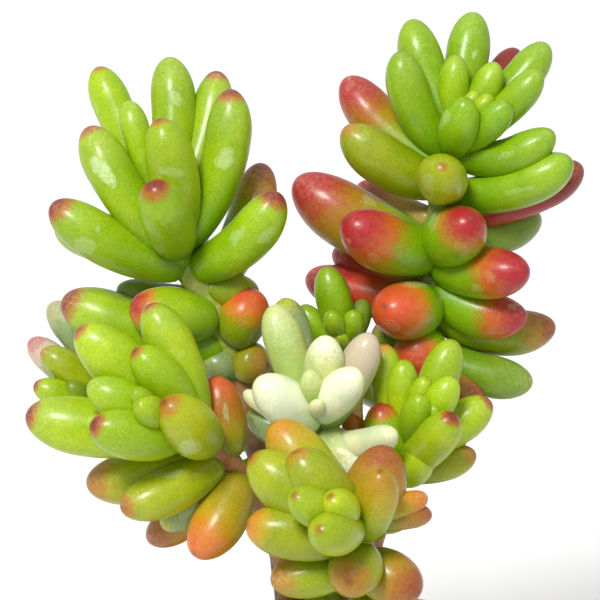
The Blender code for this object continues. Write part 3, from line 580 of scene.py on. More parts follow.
            Leaf(2.5, 326, 337, 4, 6.2, PALE), Leaf(5.0, 371, 334, 4, 5.8, LILAC),
            Leaf(1.5, 309, 370, 5, 3.7, MINT), Leaf(3.0, 258, 381, 7, 7.4, WHITE, 0.06),
            Leaf(1.5, 359, 373, 7, 6.2, WHITE, -0.02), Leaf(0.5, 318, 402, 6, 2.6, CREAM),
            Leaf(0.5, 323, 388, 3, 1.9, CREAM), Leaf(5.5, 364, 466, 5, 6.8, PALE),
            Leaf(7.0, 395, 434, 11, 4.6, CREAM), Leaf(7.5, 248, 412, -3, 5.4, PALE_OLIVE),
            Leaf(5.5, 244, 391, -1, 2.6, CREAM),
        ),
        (
            Patch(0, 285, 335, 20, 8, 60), Patch(9, 350, 440, 16, 7, 5),
        ),
    ),
    Shoot(
        "shoot_far_left", OLIVE, (-9.0, 5.0), 1.3, 0.9,
        (
            Mark(284, 622, 8), Mark(286, 556, 17), Mark(240, 498, 24), Mark(175, 452, 23), Mark(112, 412, 22),
            Mark(80, 396, 23),
        ),
        (
            Leaf(7.0, 49, 304, -3, 5.8, GREY), Leaf(6.0, 30, 340, -2, 4.9, LILAC_TIP),
            Leaf(4.0, 41, 351, 3, 5.4, OLIVE), Leaf(3.0, 75, 351, 1, 4.2, OLIVE),
            Leaf(2.0, 34, 384, 4, 4.6, TIPPED), Leaf(1.5, 66, 384, 4, 3.8, DARK),
        ),
    ),
)


# The front view's directions to the right, up and towards the eye, and the point in the middle of it, level
# with the middle of the pot's rim in depth
FRONT = np.array((0.0, -1.0, 0.0))
RIGHT = np.array((1, 0, 0))
UP = np.array((0, math.sin(EYE_ELEVATION), math.cos(EYE_ELEVATION)))
TOWARD = np.cross(RIGHT, UP)
RIM_TO_MIDDLE = (VIEW_MIDDLE - RIM_COLUMN) * PIXEL * RIGHT + (RIM_ROW - VIEW_MIDDLE) * PIXEL * UP
VIEW_CENTRE = np.array((0, 0, POT_HEIGHT)) + RIM_TO_MIDDLE


def spot(column, row, toward):
    """The point seen at a column and row of the front view, so far towards the eye from its middle plane."""
    pixel = PIXEL * (1 - toward / EYE_DISTANCE)
    across_view = (column - VIEW_MIDDLE) * pixel * RIGHT
    up_view = (VIEW_MIDDLE - row) * pixel * UP
    return VIEW_CENTRE + across_view + up_view + toward * TOWARD


def seen(points):
    """The columns and rows at which the front view shows these points."""
    offset = np.atleast_2d(points) - VIEW_CENTRE
    pixel = PIXEL * (1 - offset @ TOWARD / EYE_DISTANCE)
    return VIEW_MIDDLE + offset @ RIGHT / pixel, VIEW_MIDDLE - offset @ UP / pixel


def unit(vector):
    """The vector's direction, 1 long."""
    return vector / np.linalg.norm(vector)


def across(vector, axis):
    """The part of a vector at right angles to a unit axis."""
    return vector - (vector @ axis) * axis


def smooth_step(values, low, high):
    """0 below low, 1 above high, and a smooth rise between them."""
    share = np.clip((np.asarray(values) - low) / (high - low), 0, 1)
    return share * share * (3 - 2 * share)


def bell(values, middle, width):
    """1 in the middle, falling smoothly to 0 on both sides of it."""
    return np.exp(-((values - middle) / width) ** 2)


def below_tip(line):
    """How far below its tip each point of a line is, along the line."""
    steps = np.linalg.norm(np.diff(line, axis=0), axis=1)
    return np.append(np.cumsum(steps[::-1])[::-1], 0.0)


def smooth_line(knots, step):
    """Points about a step apart on a smooth curve through all the knots."""
    knots = np.array(knots, float)
    padded = np.vstack((2 * knots[0] - knots[1], knots, 2 * knots[-1] - knots[-2]))
    line = []
    for before, start, end, after in zip(padded, padded[1:], padded[2:], padded[3:]):
        count = max(1, round(np.linalg.norm(end - start) / step))
        slope = end - before
        bend = 2 * before - 5 * start + 4 * end - after
        twist = 3 * start - before - 3 * end + after
        for t in np.arange(count) / count:
            line.append(start + 0.5 * (slope * t + bend * t**2 + twist * t**3))
    return np.array([*line, knots[-1]])


def stem_of(shoot, step=STEM_STEP):
    """The stem, from the bottom of its hole in the soil to its growing tip."""
    foot = [(*shoot.foot, SOIL_TOP - STEM_DEPTH), (*shoot.foot, SOIL_TOP + STEM_RISE)]
    line = smooth_line([*foot, *(spot(*mark) for mark in shoot.marks)], step)
    down = below_tip(line)
    shares = np.interp(down, (0.0, STEM_TAPER, down[0]), (STEM_TIP_SHARE, 1.0, STEM_FOOT_SHARE))
    return Limb(line, shoot.stem * shares, FRONT)


def down_from_tip(line, distance):
    """The point of a stem so far below its tip, and the stem's direction there, towards the tip."""
    for end, start in zip(line[::-1], line[-2::-1]):
        length = np.linalg.norm(end - start)
        if distance <= length:
            return end + (start - end) * distance / length, unit(end - start)
        distance -= length
    return line[0], unit(line[1] - line[0])


def belly_place(length, girth):
    """How far along its length a leaf is thickest. Its round end starts there."""
    return 1 - min(LEAF_CAP_MOST, LEAF_CAP_GIRTHS * girth / length)


def leaf_share(along, belly):
    """A leaf's girth at a share of its length, as a share of its greatest girth."""
    if along < belly:
        rise = math.sin(math.pi / 2 * (along / belly) ** LEAF_FULLNESS)
        return LEAF_ROOT_SHARE + (1 - LEAF_ROOT_SHARE) * rise
    return math.sqrt(max(0.0, 1 - ((along - belly) / (1 - belly)) ** 2))


def fine_places(length, girth):
    """Many places, closer together at the root and towards the tip."""
    belly = belly_place(length, girth)
    root = LEAF_ROOT_ROUND * (1 - np.cos(np.linspace(0, math.pi / 2, ROOT_RINGS, endpoint=False)))
    neck = np.linspace(LEAF_ROOT_ROUND, belly, NECK_RINGS, endpoint=False)
    cap = belly + (1 - belly) * np.sin(np.linspace(0, math.pi / 2, CAP_RINGS))
    return np.concatenate((root, neck, cap[:-1], (1.0,)))


def leaf_limb(root, tip, upward, girth, fine, bow=LEAF_BOW, sway=0.0):
    """A leaf as a curved line with a radius at each place along it, fine for its skin or else to measure by.

    It bows away from the growing tip, and sways to the right of its way from root to tip in the front view.
    """
    chord = tip - root
    length = np.linalg.norm(chord)
    places = fine_places(length, girth) if fine else np.linspace(0, 1, SAMPLES)
    upper = across(upward, chord / length)
    if np.linalg.norm(upper) < LEAST_UPPER:
        upper = across(-TOWARD, chord / length)
    upper = unit(upper)
    elbow = root + chord / 2 - upper * bow * length + np.cross(chord, TOWARD) * sway
    t = np.array(places)[:, None]
    line = (1 - t) ** 2 * root + 2 * t * (1 - t) * elbow + t**2 * tip
    belly = belly_place(length, girth)
    radii = np.array([leaf_share(place, belly) for place in places]) * girth / 2
    return Limb(line, radii, upper)


def clearance(first, second):
    """The least distance between the surfaces of two limbs."""
    apart = np.linalg.norm(first.line[:, None] - second.line[None], axis=2)
    return (apart - first.radii[:, None] - second.radii[None]).min()


def placed_leaves(shoot, stem, fine):
    """The leaves that the front view shows."""
    made = []
    for leaf in shoot.leaves:
        root, upward = down_from_tip(stem.line, leaf.down)
        depth = (root - VIEW_CENTRE) @ TOWARD
        tip = spot(leaf.column, leaf.row, depth + leaf.toward)
        made.append(leaf_limb(root, tip, upward, leaf.girth, fine, leaf.bow, leaf.sway))
    return made


def spiral_leaves(shoot, stem):
    """Root, tip, direction and girth of leaves on a spiral down the stem, each to be kept or left out."""
    count = int((below_tip(stem.line)[0] - STEM_DEPTH - HIDDEN_BARE - HIDDEN_START) / HIDDEN_STEP)
    for k in range(count):
        down = HIDDEN_START + k * HIDDEN_STEP
        root, upward = down_from_tip(stem.line, down)
        side = unit(across(RIGHT, upward))
        other = np.cross(upward, side)
        turn = shoot.hidden_turn + k * GOLDEN_ANGLE
        outward = math.cos(turn) * side + math.sin(turn) * other
        pitch = HIDDEN_PITCH + HIDDEN_DROOP * min(1, down / HIDDEN_DROOP_LENGTH)
        pitch *= 1 + HIDDEN_SPREAD * math.sin(HIDDEN_PITCH_BEAT * k)
        reach = HIDDEN_LENGTH * (1 + HIDDEN_SPREAD * math.sin(HIDDEN_LENGTH_BEAT * k + shoot.hidden_turn))
        aim = math.cos(pitch) * upward + math.sin(pitch) * outward
        yield root, root + reach * aim, upward, HIDDEN_GIRTH * reach / HIDDEN_LENGTH


def is_hidden(limb, others):
    """Whether the front view's frame ends above this limb, or whether nearer limbs cover it there."""
    columns, rows = seen(limb.line)
    for column, row, point in zip(columns, rows, limb.line):
        if row > VIEW_BOTTOM:
            continue
        covered = False
        for other in others:
            spots = np.array(seen(other.line)).T
            apart = np.linalg.norm(spots - (column, row), axis=1) * PIXEL
            in_front = (other.line - point) @ TOWARD > 0
            covered = covered or bool((in_front & (apart < other.radii)).any())
        if not covered:
            return False
    return True


def hidden_leaves(stems, placed):
    """For each shoot, the leaves that the front view hides, clear of all other leaves and stems."""
    kept = {shoot.name: [] for shoot in SHOOTS}
    everything = [
        (shoot.name, limb) for shoot in SHOOTS for limb in (stems[shoot.name], *placed[shoot.name])
    ]
    for shoot in SHOOTS:
        for root, tip, upward, girth in spiral_leaves(shoot, stems[shoot.name]):
            limb = leaf_limb(root, tip, upward, girth, fine=False)
            outer = Limb(limb.line[SAMPLES // 2:], limb.radii[SAMPLES // 2:], limb.upper)
            own = [other for name, other in everything if name == shoot.name]
            foreign = [other for name, other in everything if name != shoot.name]
            crowd = -HIDDEN_CROWDING * girth / 2
            clear = all(clearance(outer, other) > crowd for other in own[1:])
            clear = clear and all(clearance(limb, other) > HIDDEN_CLEARANCE for other in foreign)
            if clear and is_hidden(limb, own + foreign):
                kept[shoot.name].append((root, tip, upward, girth))
                everything.append((shoot.name, limb))
    return kept


def shown(name, data):
    """A mesh, light or camera as a new object in the scene."""
    made = bpy.data.objects.new(name, data)
    bpy.context.scene.collection.objects.link(made)
    return made


class Skin:
    """A mesh in the making: points in millimetres, faces, and a value or colour at each point."""

    def __init__(self, numbers=(), colours=()):
        self.points = []
        self.faces = []
        self.count = 0
        self.colours = colours
        self.values = {name: [] for name in (*numbers, *colours)}

    def add(self, points, faces, **values):
        """Adds points, the faces between them, and for each name one value for all or one for each."""
        self.points.append(points)
        self.faces.extend(tuple(corner + self.count for corner in face) for face in faces)
        self.count += len(points)
        for name, made in self.values.items():
            size = (len(points), 3) if name in self.colours else len(points)
            made.append(np.broadcast_to(values[name], size))

    def piece(self, name, surface):
        """The finished mesh as a smooth object with one surface."""
        mesh = bpy.data.meshes.new(name)
        mesh.from_pydata(np.concatenate(self.points) * MM, [], self.faces)
        for attribute, made in self.values.items():
            values = np.concatenate(made)
            kind, field = "FLOAT", "value"
            if attribute in self.colours:
                kind, field = "FLOAT_COLOR", "color"
                values = np.column_stack((values, np.ones(len(values))))
            layer = mesh.attributes.new(attribute, kind, "POINT")
            layer.data.foreach_set(field, values.astype(np.float32).ravel())
        mesh.shade_smooth()
        mesh.materials.append(surface)
        return shown(name, mesh)


def faces_between(rings, sides):
    """The faces of a skin over rings of points. A ring of one point closes it like a cone."""
    faces = []
    for lower, upper in zip(rings, rings[1:]):
        for k in range(sides):
            following = (k + 1) % sides
            corners = (
                lower[k % len(lower)], lower[following % len(lower)],
                upper[following % len(upper)], upper[k % len(upper)],
            )
            faces.append(tuple(dict.fromkeys(corners)))
    return faces


def tube(limb, sides, flat=1.0, swell=None):
    """Points, outward directions and faces of a limb's skin. swell is each point's share of its radius."""
    directions = np.gradient(limb.line, axis=0)
    turns = 2 * math.pi * (np.arange(sides) + 0.5) / sides
    points = []
    outwards = []
    rings = []
    for ring, (place, radius, direction) in enumerate(zip(limb.line, limb.radii, directions)):
        count = sides if radius > 0 else 1
        rings.append(range(len(points), len(points) + count))
        if count == 1:
            points.append(place)
            outwards.append(unit(direction))
            continue
        upper = unit(across(limb.upper, unit(direction)))
        side = np.cross(unit(direction), upper)
        for k, turn in enumerate(turns):
            outward = flat * math.cos(turn) * upper + math.sin(turn) * side
            share = 1.0 if swell is None else swell[ring, k]
            points.append(place + radius * share * outward)
            outwards.append(outward)
    faces = faces_between(rings, sides)
    faces.extend(tuple(ring) for ring in (rings[0], rings[-1]) if len(ring) > 1)
    return np.array(points), np.array(outwards), faces, rings


def spread(values, rings):
    """One value for each ring, given to each of the ring's points."""
    return np.concatenate([np.full(len(ring), value) for value, ring in zip(values, rings)])


def wobble(rings, sides, draw):
    """A leaf is never quite round: slow waves round it and along it, as shares of its radius."""
    turns = 2 * math.pi * np.arange(sides) / sides
    along = np.linspace(0, 1, rings)[:, None]
    first, second, third = draw.uniform(0, 2 * math.pi, 3)
    wave = np.cos(turns * 2 + first + 2 * along) + np.sin(turns * 3 + second - 3 * along)
    wave = wave + np.cos(2 * math.pi * (WOBBLE_WAVES * along + WOBBLE_SLANT * np.sin(turns)) + third)
    return 1 + WOBBLE * wave / 3 * np.sqrt(np.clip(1 - along**6, 0, 1))


def wax_field(points, outwards, patches, seen_leaf, draw):
    """Where wax lies on a leaf: a field over 0 inside patches and 0 on their edges, and how thick it is."""
    field = np.full(len(points), -1.0)
    cover = np.full(len(points), draw.uniform(*WAX_COVER))
    columns, rows = seen(points)
    facing = outwards @ TOWARD > 0
    for patch in patches:
        tilt = math.radians(patch.tilt)
        right = columns - patch.column
        down = rows - patch.row
        along = (right * math.cos(tilt) + down * math.sin(tilt)) / patch.long
        wide = (down * math.cos(tilt) - right * math.sin(tilt)) / patch.wide
        inside = 1 - np.hypot(along, wide)
        cover = np.where(facing & (inside > field), patch.cover, cover)
        field = np.where(facing, np.maximum(field, inside), field)
    if not patches and draw.random() < WAXED_SHARE:
        middle = points[draw.integers(len(points) // 4, len(points) * 3 // 4)]
        axis = unit(points[-1] - points[0])
        away = points - middle
        along = away @ axis
        aside = np.linalg.norm(away - along[:, None] * axis, axis=1)
        apart = np.hypot(along / draw.uniform(*WAX_LENGTH), aside / draw.uniform(*WAX_WIDTH))
        field = np.where(facing & seen_leaf, field, np.maximum(field, 1 - apart))
    return field, cover


def add_leaf(skin, limb, look, patches, draw, box):
    """One leaf's skin, with its colours and ripeness at each point. A hidden leaf has no set patches."""
    steps = np.linalg.norm(np.diff(limb.line, axis=0), axis=1)
    reached = np.concatenate(((0.0,), np.cumsum(steps)))
    reached = reached / reached[-1]
    to_round = 1 - np.clip(reached / LEAF_ROOT_ROUND, 0, 1)
    limb = limb._replace(radii=limb.radii * np.sqrt(1 - to_round**2))
    swell = wobble(len(reached), SKIN_SIDES, draw)
    points, outwards, faces, rings = tube(limb, SKIN_SIDES, LEAF_THICKNESS, swell)
    places = spread(reached, rings)
    from_tip = np.linalg.norm(points - limb.line[-1], axis=1)
    sun = SUN_BLUSH * outwards[:, 2] * (places > 1 - look.reach)
    # How squarely each point faces the eye and the light above it, which lays the frost there as a painted
    # highlight
    lightward = np.clip(outwards @ unit(TOWARD + LIGHTWARD_LIFT * UP), 0, 1) ** 2
    wax, cover = wax_field(points, outwards, patches or (), patches is not None, draw)
    ripe = look.amount * (1 - smooth_step(1 - places, 0, look.reach) ** RIPE_CURVE + sun)
    point = bell(from_tip, 0.0, POINT_SIZE) * min(1.0, POINT_LEAST + look.amount) * look.pointed
    tone = draw.uniform(*BODY_TONE)
    warm = np.array((draw.uniform(*BODY_WARMTH), 1, 1))
    # Darker towards the root: partly the leaf's own deeper green, partly painted shade of the crease at the
    # stem
    neck = (1 - smooth_step(places, 0, NECK_GREEN_AND_SHADE_REACH))[:, None]
    body = np.array(look.body) * tone * warm * (1 - neck * np.array(NECK_GREEN_AND_SHADE_LOSS))
    frost = smooth_step(places, FROST_HIGHLIGHT_FROM, 1.0) * lightward * draw.uniform(*FROST_HIGHLIGHT_SHARE)
    skin.add(
        np.clip(points, *box), faces, body=body, turning=look.turning, blush=look.ripe, ripe=ripe,
        point=point, wax=wax, cover=cover, frost=frost, juicy=look.pointed,
    )


def make_leaves(shoot, stem, hidden, surface, draw, box):
    """All the leaves of one stem as one piece, kept within a box."""
    skin = Skin(("ripe", "point", "wax", "cover", "frost", "juicy"), ("body", "turning", "blush"))
    for index, limb in enumerate(placed_leaves(shoot, stem, fine=True)):
        patches = [patch for patch in shoot.patches if patch.leaf == index]
        add_leaf(skin, limb, shoot.leaves[index].look, patches, draw, box)
    for leaf in hidden:
        add_leaf(skin, leaf_limb(*leaf, fine=True), shoot.hidden_look, None, draw, box)
    return skin.piece("leaves_of_" + shoot.name, surface)


def make_stem(shoot, surface):
    """A bare stem with the scars of the leaves that it has shed."""
    limb = stem_of(shoot, STEM_SKIN_STEP)
    points, outwards, faces, rings = tube(limb, STEM_SKIN_SIDES)
    down = below_tip(limb.line)
    depth = spread(down, rings)
    scar = np.zeros(len(points))
    lift = np.zeros(len(points))
    for k in range(int(down[0] / SCAR_STEP)):
        ring = int(np.argmin(abs(down - SCAR_STEP * (k + 1))))
        corner = rings[ring][int(STEM_SKIN_SIDES * (k * GOLDEN_ANGLE / (2 * math.pi) % 1))]
        away = np.linalg.norm(points - points[corner], axis=1) / SCAR_SIZE
        lift += bell(away, *SCAR_RIM) - SCAR_HOLLOW_DEPTH * bell(away, *SCAR_HOLLOW)
        scar = np.maximum(scar, bell(away, *SCAR_STAIN))
    young, turning, woody = STEM_AGES.get(shoot.name, STEM_AGE)
    pinker = smooth_step(depth, young, turning)[:, None]
    browner = smooth_step(depth, turning, woody)[:, None]
    body = np.array(STEM_GREEN) * (1 - pinker) + np.array(STEM_PINK) * pinker
    body = body * (1 - browner) + np.array(STEM_BROWN) * browner
    bare = smooth_step(depth, SCARRED_FROM, 2 * SCARRED_FROM)
    lift = SCAR_HEIGHT * bare * lift * np.minimum(1, depth / SCARLESS_TIP)
    lift -= STEM_SLIMMER * spread(limb.radii, rings)
    skin = Skin(("scar",), ("body",))
    skin.add(points + outwards * lift[:, None], faces, scar=scar * bare, body=body)
    return skin.piece("stem_of_" + shoot.name, surface)


class Nodes:
    """A material's node tree, written as short calls."""

    def __init__(self, name):
        self.material = bpy.data.materials.new(name)
        self.material.use_nodes = True
        self.tree = self.material.node_tree
        self.shader = self.tree.nodes["Principled BSDF"]

    def add(self, kind, **settings):
        """A new node with its settings."""
        made = self.tree.nodes.new(kind)
        for name, value in settings.items():
            setattr(made, name, value)
        return made

    def feed(self, socket, value):
        """Links a socket to another node's output, or sets it to a number or colour."""
        if isinstance(value, bpy.types.NodeSocket):
            self.tree.links.new(value, socket)
        elif isinstance(value, tuple) and len(value) == 3 and socket.type == "RGBA":
            socket.default_value = (*value, 1)
        else:
            socket.default_value = value

    def place(self):
        """The point on the object, in metres."""
        return self.add("ShaderNodeTexCoord").outputs["Object"]

    def level(self):
        """The height on the object, in metres."""
        parts = self.add("ShaderNodeSeparateXYZ")
        self.feed(parts.inputs[0], self.place())
        return parts.outputs["Z"]

    def number(self, name):
        """A value stored at the mesh's points."""
        return self.add("ShaderNodeAttribute", attribute_name=name).outputs["Fac"]

    def colour(self, name):
        """A colour stored at the mesh's points."""
        return self.add("ShaderNodeAttribute", attribute_name=name).outputs["Color"]

    def math(self, operation, *values, clamp=False):
        """The result of an operation on values."""
        made = self.add("ShaderNodeMath", operation=operation, use_clamp=clamp)
        for socket, value in zip(made.inputs, values):
            self.feed(socket, value)
        return made.outputs[0]

    def total(self, *values):
        """The sum of several values."""
        result = values[0]
        for value in values[1:]:
            result = self.math("ADD", result, value)
        return result

    def times(self, first, second, clamp=False):
        """The product of two values, kept between 0 and 1 if clamped."""
        return self.math("MULTIPLY", first, second, clamp=clamp)

    def weighed(self, weights, *values):
        """The sum of several values, each times its weight."""
        return self.total(*(self.times(value, weight) for value, weight in zip(values, weights)))

    def mix(self, share, first, second, blend="MIX"):
        """The first colour, and so much of the second."""
        made = self.add("ShaderNodeMix", data_type="RGBA", blend_type=blend, clamp_factor=True)
        for socket, value in zip((made.inputs[0], made.inputs[6], made.inputs[7]), (share, first, second)):
            self.feed(socket, value)
        return made.outputs[2]

    def tint(self, colour, shares):
        """A colour multiplied by shares of red, green and blue."""
        return self.mix(1.0, colour, shares, "MULTIPLY")

    def rise(self, value, low, high, start=0.0, end=1.0):
        """start below low, end above high, and a smooth change between them."""
        made = self.add("ShaderNodeMapRange", interpolation_type="SMOOTHSTEP")
        for socket, given in zip(made.inputs, (value, low, high, start, end)):
            self.feed(socket, given)
        return made.outputs[0]

    def noise(self, size, detail, roughness):
        """Soft noise about 0.5, whose blotches are about a size in millimetres."""
        made = self.add("ShaderNodeTexNoise")
        self.feed(made.inputs["Vector"], self.place())
        self.feed(made.inputs["Scale"], 1 / (size * MM))
        self.feed(made.inputs["Detail"], detail)
        self.feed(made.inputs["Roughness"], roughness)
        return made.outputs["Fac"]

    def stray(self, noise, amount):
        """The noise, now about 0, times an amount."""
        return self.times(self.math("SUBTRACT", noise, 0.5), amount)

    def dots(self, spacing, reach):
        """1 at the middle of scattered round dots, and 0 outside them."""
        made = self.add("ShaderNodeTexVoronoi")
        self.feed(made.inputs["Vector"], self.place())
        self.feed(made.inputs["Scale"], 1 / (spacing * MM))
        return self.rise(made.outputs["Distance"], reach * 0.5, reach, 1.0, 0.0)

    def bump(self, height, depth):
        """A bumped normal. depth is in millimetres."""
        made = self.add("ShaderNodeBump")
        self.feed(made.inputs["Height"], height)
        self.feed(made.inputs["Distance"], depth * MM)
        return made.outputs["Normal"]

    def set(self, **values):
        """Sets the shader's own sockets: base_color is its Base Color."""
        for name, value in values.items():
            title = name.replace("_", " ").title().replace("Ior", "IOR")
            self.feed(self.shader.inputs[title], value)


def leaf_colour(n, blotch, grain):
    """A leaf's body colour, which turns through a second one to the ripe one of its tip, finely stippled."""
    ripe = n.number("ripe")
    juicy = n.number("juicy")
    zone = n.times(n.times(ripe, n.math("SUBTRACT", RIPE_LIMIT, ripe)), RIPE_ZONE, clamp=True)
    stray = n.total(n.stray(blotch, RIPE_STRAY[0]), n.stray(grain, RIPE_STRAY[1]))
    stirred = n.total(ripe, n.times(stray, zone))
    body = n.colour("body")
    cloudy = n.mix(n.rise(n.noise(*LEAF_CLOUD), *NARROW_SPAN), n.tint(body, CLOUD_TINT), body)
    yellowed = n.mix(n.rise(blotch, *YELLOWING), cloudy, n.tint(cloudy, YELLOW_TINT))
    turned = n.mix(n.rise(stirred, *TURNING), yellowed, n.colour("turning"))
    blush = n.colour("blush")
    ripened = n.mix(n.rise(stirred, *RIPENING), turned, blush)
    stipple = n.times(n.times(n.dots(*LEAF_STIPPLES), juicy), n.rise(zone, *STIPPLING))
    stippled = n.mix(stipple, ripened, n.tint(blush, STIPPLE_TINT))
    grainy = n.mix(n.rise(grain, *GRAIN_SPAN), n.tint(stippled, GRAIN_DARK), n.tint(stippled, GRAIN_LIGHT))
    mottled = n.mix(n.rise(juicy, *GRAIN_ON_JUICY), stippled, grainy)
    pores = n.times(n.dots(*LEAF_PORES), n.rise(blotch, *PORES_SEEN))
    pored = n.mix(pores, mottled, n.tint(mottled, PORE_TINT))
    # Pale frost at the leaf ends that face the light: partly wax bloom, partly a painted highlight
    frost = n.times(n.number("frost"), n.rise(n.noise(*FROST_HIGHLIGHT_GRAIN), *FROST_HIGHLIGHT_SEEN))
    return n.mix(n.times(n.number("point"), POINT_SHARE), n.mix(frost, pored, FROST_HIGHLIGHT_COLOUR), LEAF_SCORCH)


def leaf_skin():
    """Waxy, juicy leaf skin, with films of pale wax whose rims are thin and broken."""
    n = Nodes("leaf_skin")
    blotch = n.noise(*LEAF_BLOTCH)
    grain = n.noise(*LEAF_GRAIN)
    flaky = n.noise(*LEAF_FLAKE)
    edge = n.stray(n.noise(*WAX_EDGE), WAX_STRAY[0])
    wax = n.total(n.number("wax"), edge, n.stray(flaky, WAX_STRAY[1]))
    rim = n.times(n.rise(wax, *WAX_START), n.rise(wax, *WAX_RIM_END))
    broken = n.times(rim, n.rise(n.noise(*WAX_RIM_BREAKS), *WAX_RIM_KEPT))
    film = n.times(n.times(n.rise(wax, *WAX_DEEPENS), n.number("cover")), n.rise(flaky, *WAX_FLAKES))
    waxed = n.mix(film, leaf_colour(n, blotch, grain), WAX)
    roughness = n.rise(blotch, *NOISE_SPAN, *LEAF_ROUGHNESS)
    n.set(
        base_color=n.mix(n.times(broken, WAX_RIM_SHARE), waxed, WAX_RIM),
        roughness=n.total(roughness, n.times(film, WAX_ROUGHNESS)), specular_ior_level=0.32,
        normal=n.bump(n.weighed(LEAF_BUMPS, blotch, grain, broken, film), LEAF_BUMP_DEPTH),
        subsurface_weight=0.30, subsurface_radius=(1.0, 0.8, 0.15), subsurface_scale=1.2 * MM,
        coat_weight=0.14, coat_roughness=0.13,
    )
    return n.material


def stem_skin():
    """Skin of a stem, green and smooth at its growing end, brown and rough below."""
    n = Nodes("stem_skin")
    blotch = n.noise(*STEM_BLOTCH)
    grain = n.noise(*STEM_GRAIN)
    colour = n.colour("body")
    body = n.mix(n.rise(blotch, *NARROW_SPAN), n.tint(colour, STEM_TINT), colour)
    scarred = n.mix(n.times(n.number("scar"), SCAR_SHARE), body, STEM_SCAR)
    n.set(
        base_color=n.mix(n.times(n.dots(*STEM_FLECKS), FLECK_SHARE), scarred, STEM_FLECK),
        roughness=n.rise(grain, *NOISE_SPAN, *STEM_ROUGHNESS),
        normal=n.bump(n.weighed(STEM_BUMPS, blotch, grain), STEM_BUMP_DEPTH),
        subsurface_weight=0.2, subsurface_scale=1.0 * MM,
    )
    return n.material


def clay_skin():
    """Fired clay, with fine sand in it, darker where it is damp, and a pale bloom of lime above that."""
    n = Nodes("fired_clay")
    cloud = n.noise(*CLAY_CLOUD)
    blotch = n.noise(*CLAY_BLOTCH)
    grain = n.noise(*CLAY_GRAIN)
    level = n.level()
    clay = n.mix(n.rise(cloud, *NOISE_SPAN), CLAY_DARK, CLAY_LIGHT)
    sandy = n.mix(n.rise(grain, *SANDINESS), clay, CLAY_SAND)
    specked = n.mix(n.times(n.dots(*CLAY_SPECKS), SPECK_SHARE), sandy, CLAY_SPECK)
    damp = n.total(n.rise(level, *DAMP_TO_DRY), n.stray(cloud, DAMP_STRAY))
    damped = n.mix(n.rise(damp, *DAMP_SEEN), specked, n.tint(specked, DAMP_TINT))
    band = n.times(n.rise(level, *LIME_FROM), n.rise(level, *LIME_LESS))
    n.set(
        base_color=n.mix(n.times(band, n.rise(blotch, *LIME_SEEN)), damped, CLAY_LIME),
        roughness=n.rise(blotch, *NOISE_SPAN, *CLAY_ROUGHNESS), specular_ior_level=0.25,
        normal=n.bump(n.weighed(CLAY_BUMPS, blotch, grain), CLAY_BUMP_DEPTH),
    )
    return n.material


def earth_skin():
    """Damp potting soil."""
    n = Nodes("damp_earth")
    blotch = n.noise(*EARTH_BLOTCH)
    grain = n.noise(*EARTH_GRAIN)
    earth = n.mix(n.rise(blotch, *NOISE_SPAN), EARTH_DARK, EARTH_LIGHT)
    n.set(
        base_color=n.mix(n.rise(grain, *CRUMBLINESS), earth, EARTH_CRUMB), roughness=0.95,
        specular_ior_level=0.2, normal=n.bump(n.total(blotch, grain), EARTH_BUMP_DEPTH),
    )
    return n.material


def grit_skin():
    """Dull skin of crumbs, each with its own colour."""
    n = Nodes("grit")
    grain = n.noise(*GRIT_GRAIN)
    colour = n.colour("tint")
    n.set(
        base_color=n.mix(n.rise(grain, *GRIT_SPAN), n.tint(colour, GRIT_TINT), colour), roughness=0.9,
        specular_ior_level=0.25, normal=n.bump(grain, GRIT_BUMP_DEPTH),
    )
    return n.material


def floor_skin():
    """A plain pale floor."""
    n = Nodes("pale_floor")
    n.set(base_color=n.mix(n.noise(*FLOOR_CLOUD), FLOOR_COLOUR, FLOOR_SHADE), roughness=0.7)
    return n.material


def inner_radius(height):
    """The radius of the pot's cavity at a height."""
    share = (height - POT_FLOOR) / (POT_HEIGHT - POT_FLOOR)
    bottom = POT_FOOT_RADIUS - POT_WALL
    return bottom + (POT_RIM_RADIUS - POT_WALL - bottom) * share


def soil_rise(x, y):
    """The height of the soil's dome and lumps over its edge."""
    edge = inner_radius(SOIL_TOP) * math.cos(math.pi / POT_SIDES) - GAP
    dome = SOIL_DOME * (1 - (x * x + y * y) / edge**2)
    across_wave = math.sin(2 * math.pi * x / SOIL_WAVE_ACROSS)
    along_wave = math.cos(2 * math.pi * y / SOIL_WAVE_ALONG)
    return dome + SOIL_LUMP * across_wave * along_wave


def crumbs(x, y):
    """The height of the soil's crumbs over its lumps."""
    place = (x / CRUMB_SIZE, y / CRUMB_SIZE, 0.0)
    return CRUMB_HEIGHT * noise.fractal(place, *CRUMB_DETAIL)


def rounded(corners, reach, steps):
    """A turned outline whose corners, but for its two ends, are rounded from so far on each side of them."""
    outline = [corners[0]]
    for before, corner, after in zip(corners, corners[1:], corners[2:]):
        before, corner, after = (np.array(point) for point in (before, corner, after))
        start = corner + unit(before - corner) * reach
        end = corner + unit(after - corner) * reach
        for t in np.linspace(0, 1, steps):
            outline.append(tuple((1 - t) ** 2 * start + 2 * t * (1 - t) * corner + t**2 * end))
    return [*outline, corners[-1]]


def turned(outline, sides):
    """Points and faces of a solid turned from (radius, height) points, from its foot up and round."""
    points = []
    rings = []
    turns = 2 * math.pi * np.arange(sides) / sides
    for radius, height in outline:
        count = sides if radius > 0 else 1
        rings.append(range(len(points), len(points) + count))
        points.extend((radius * math.cos(turn), radius * math.sin(turn), height) for turn in turns[:count])
    return np.array(points), faces_between(rings, sides)


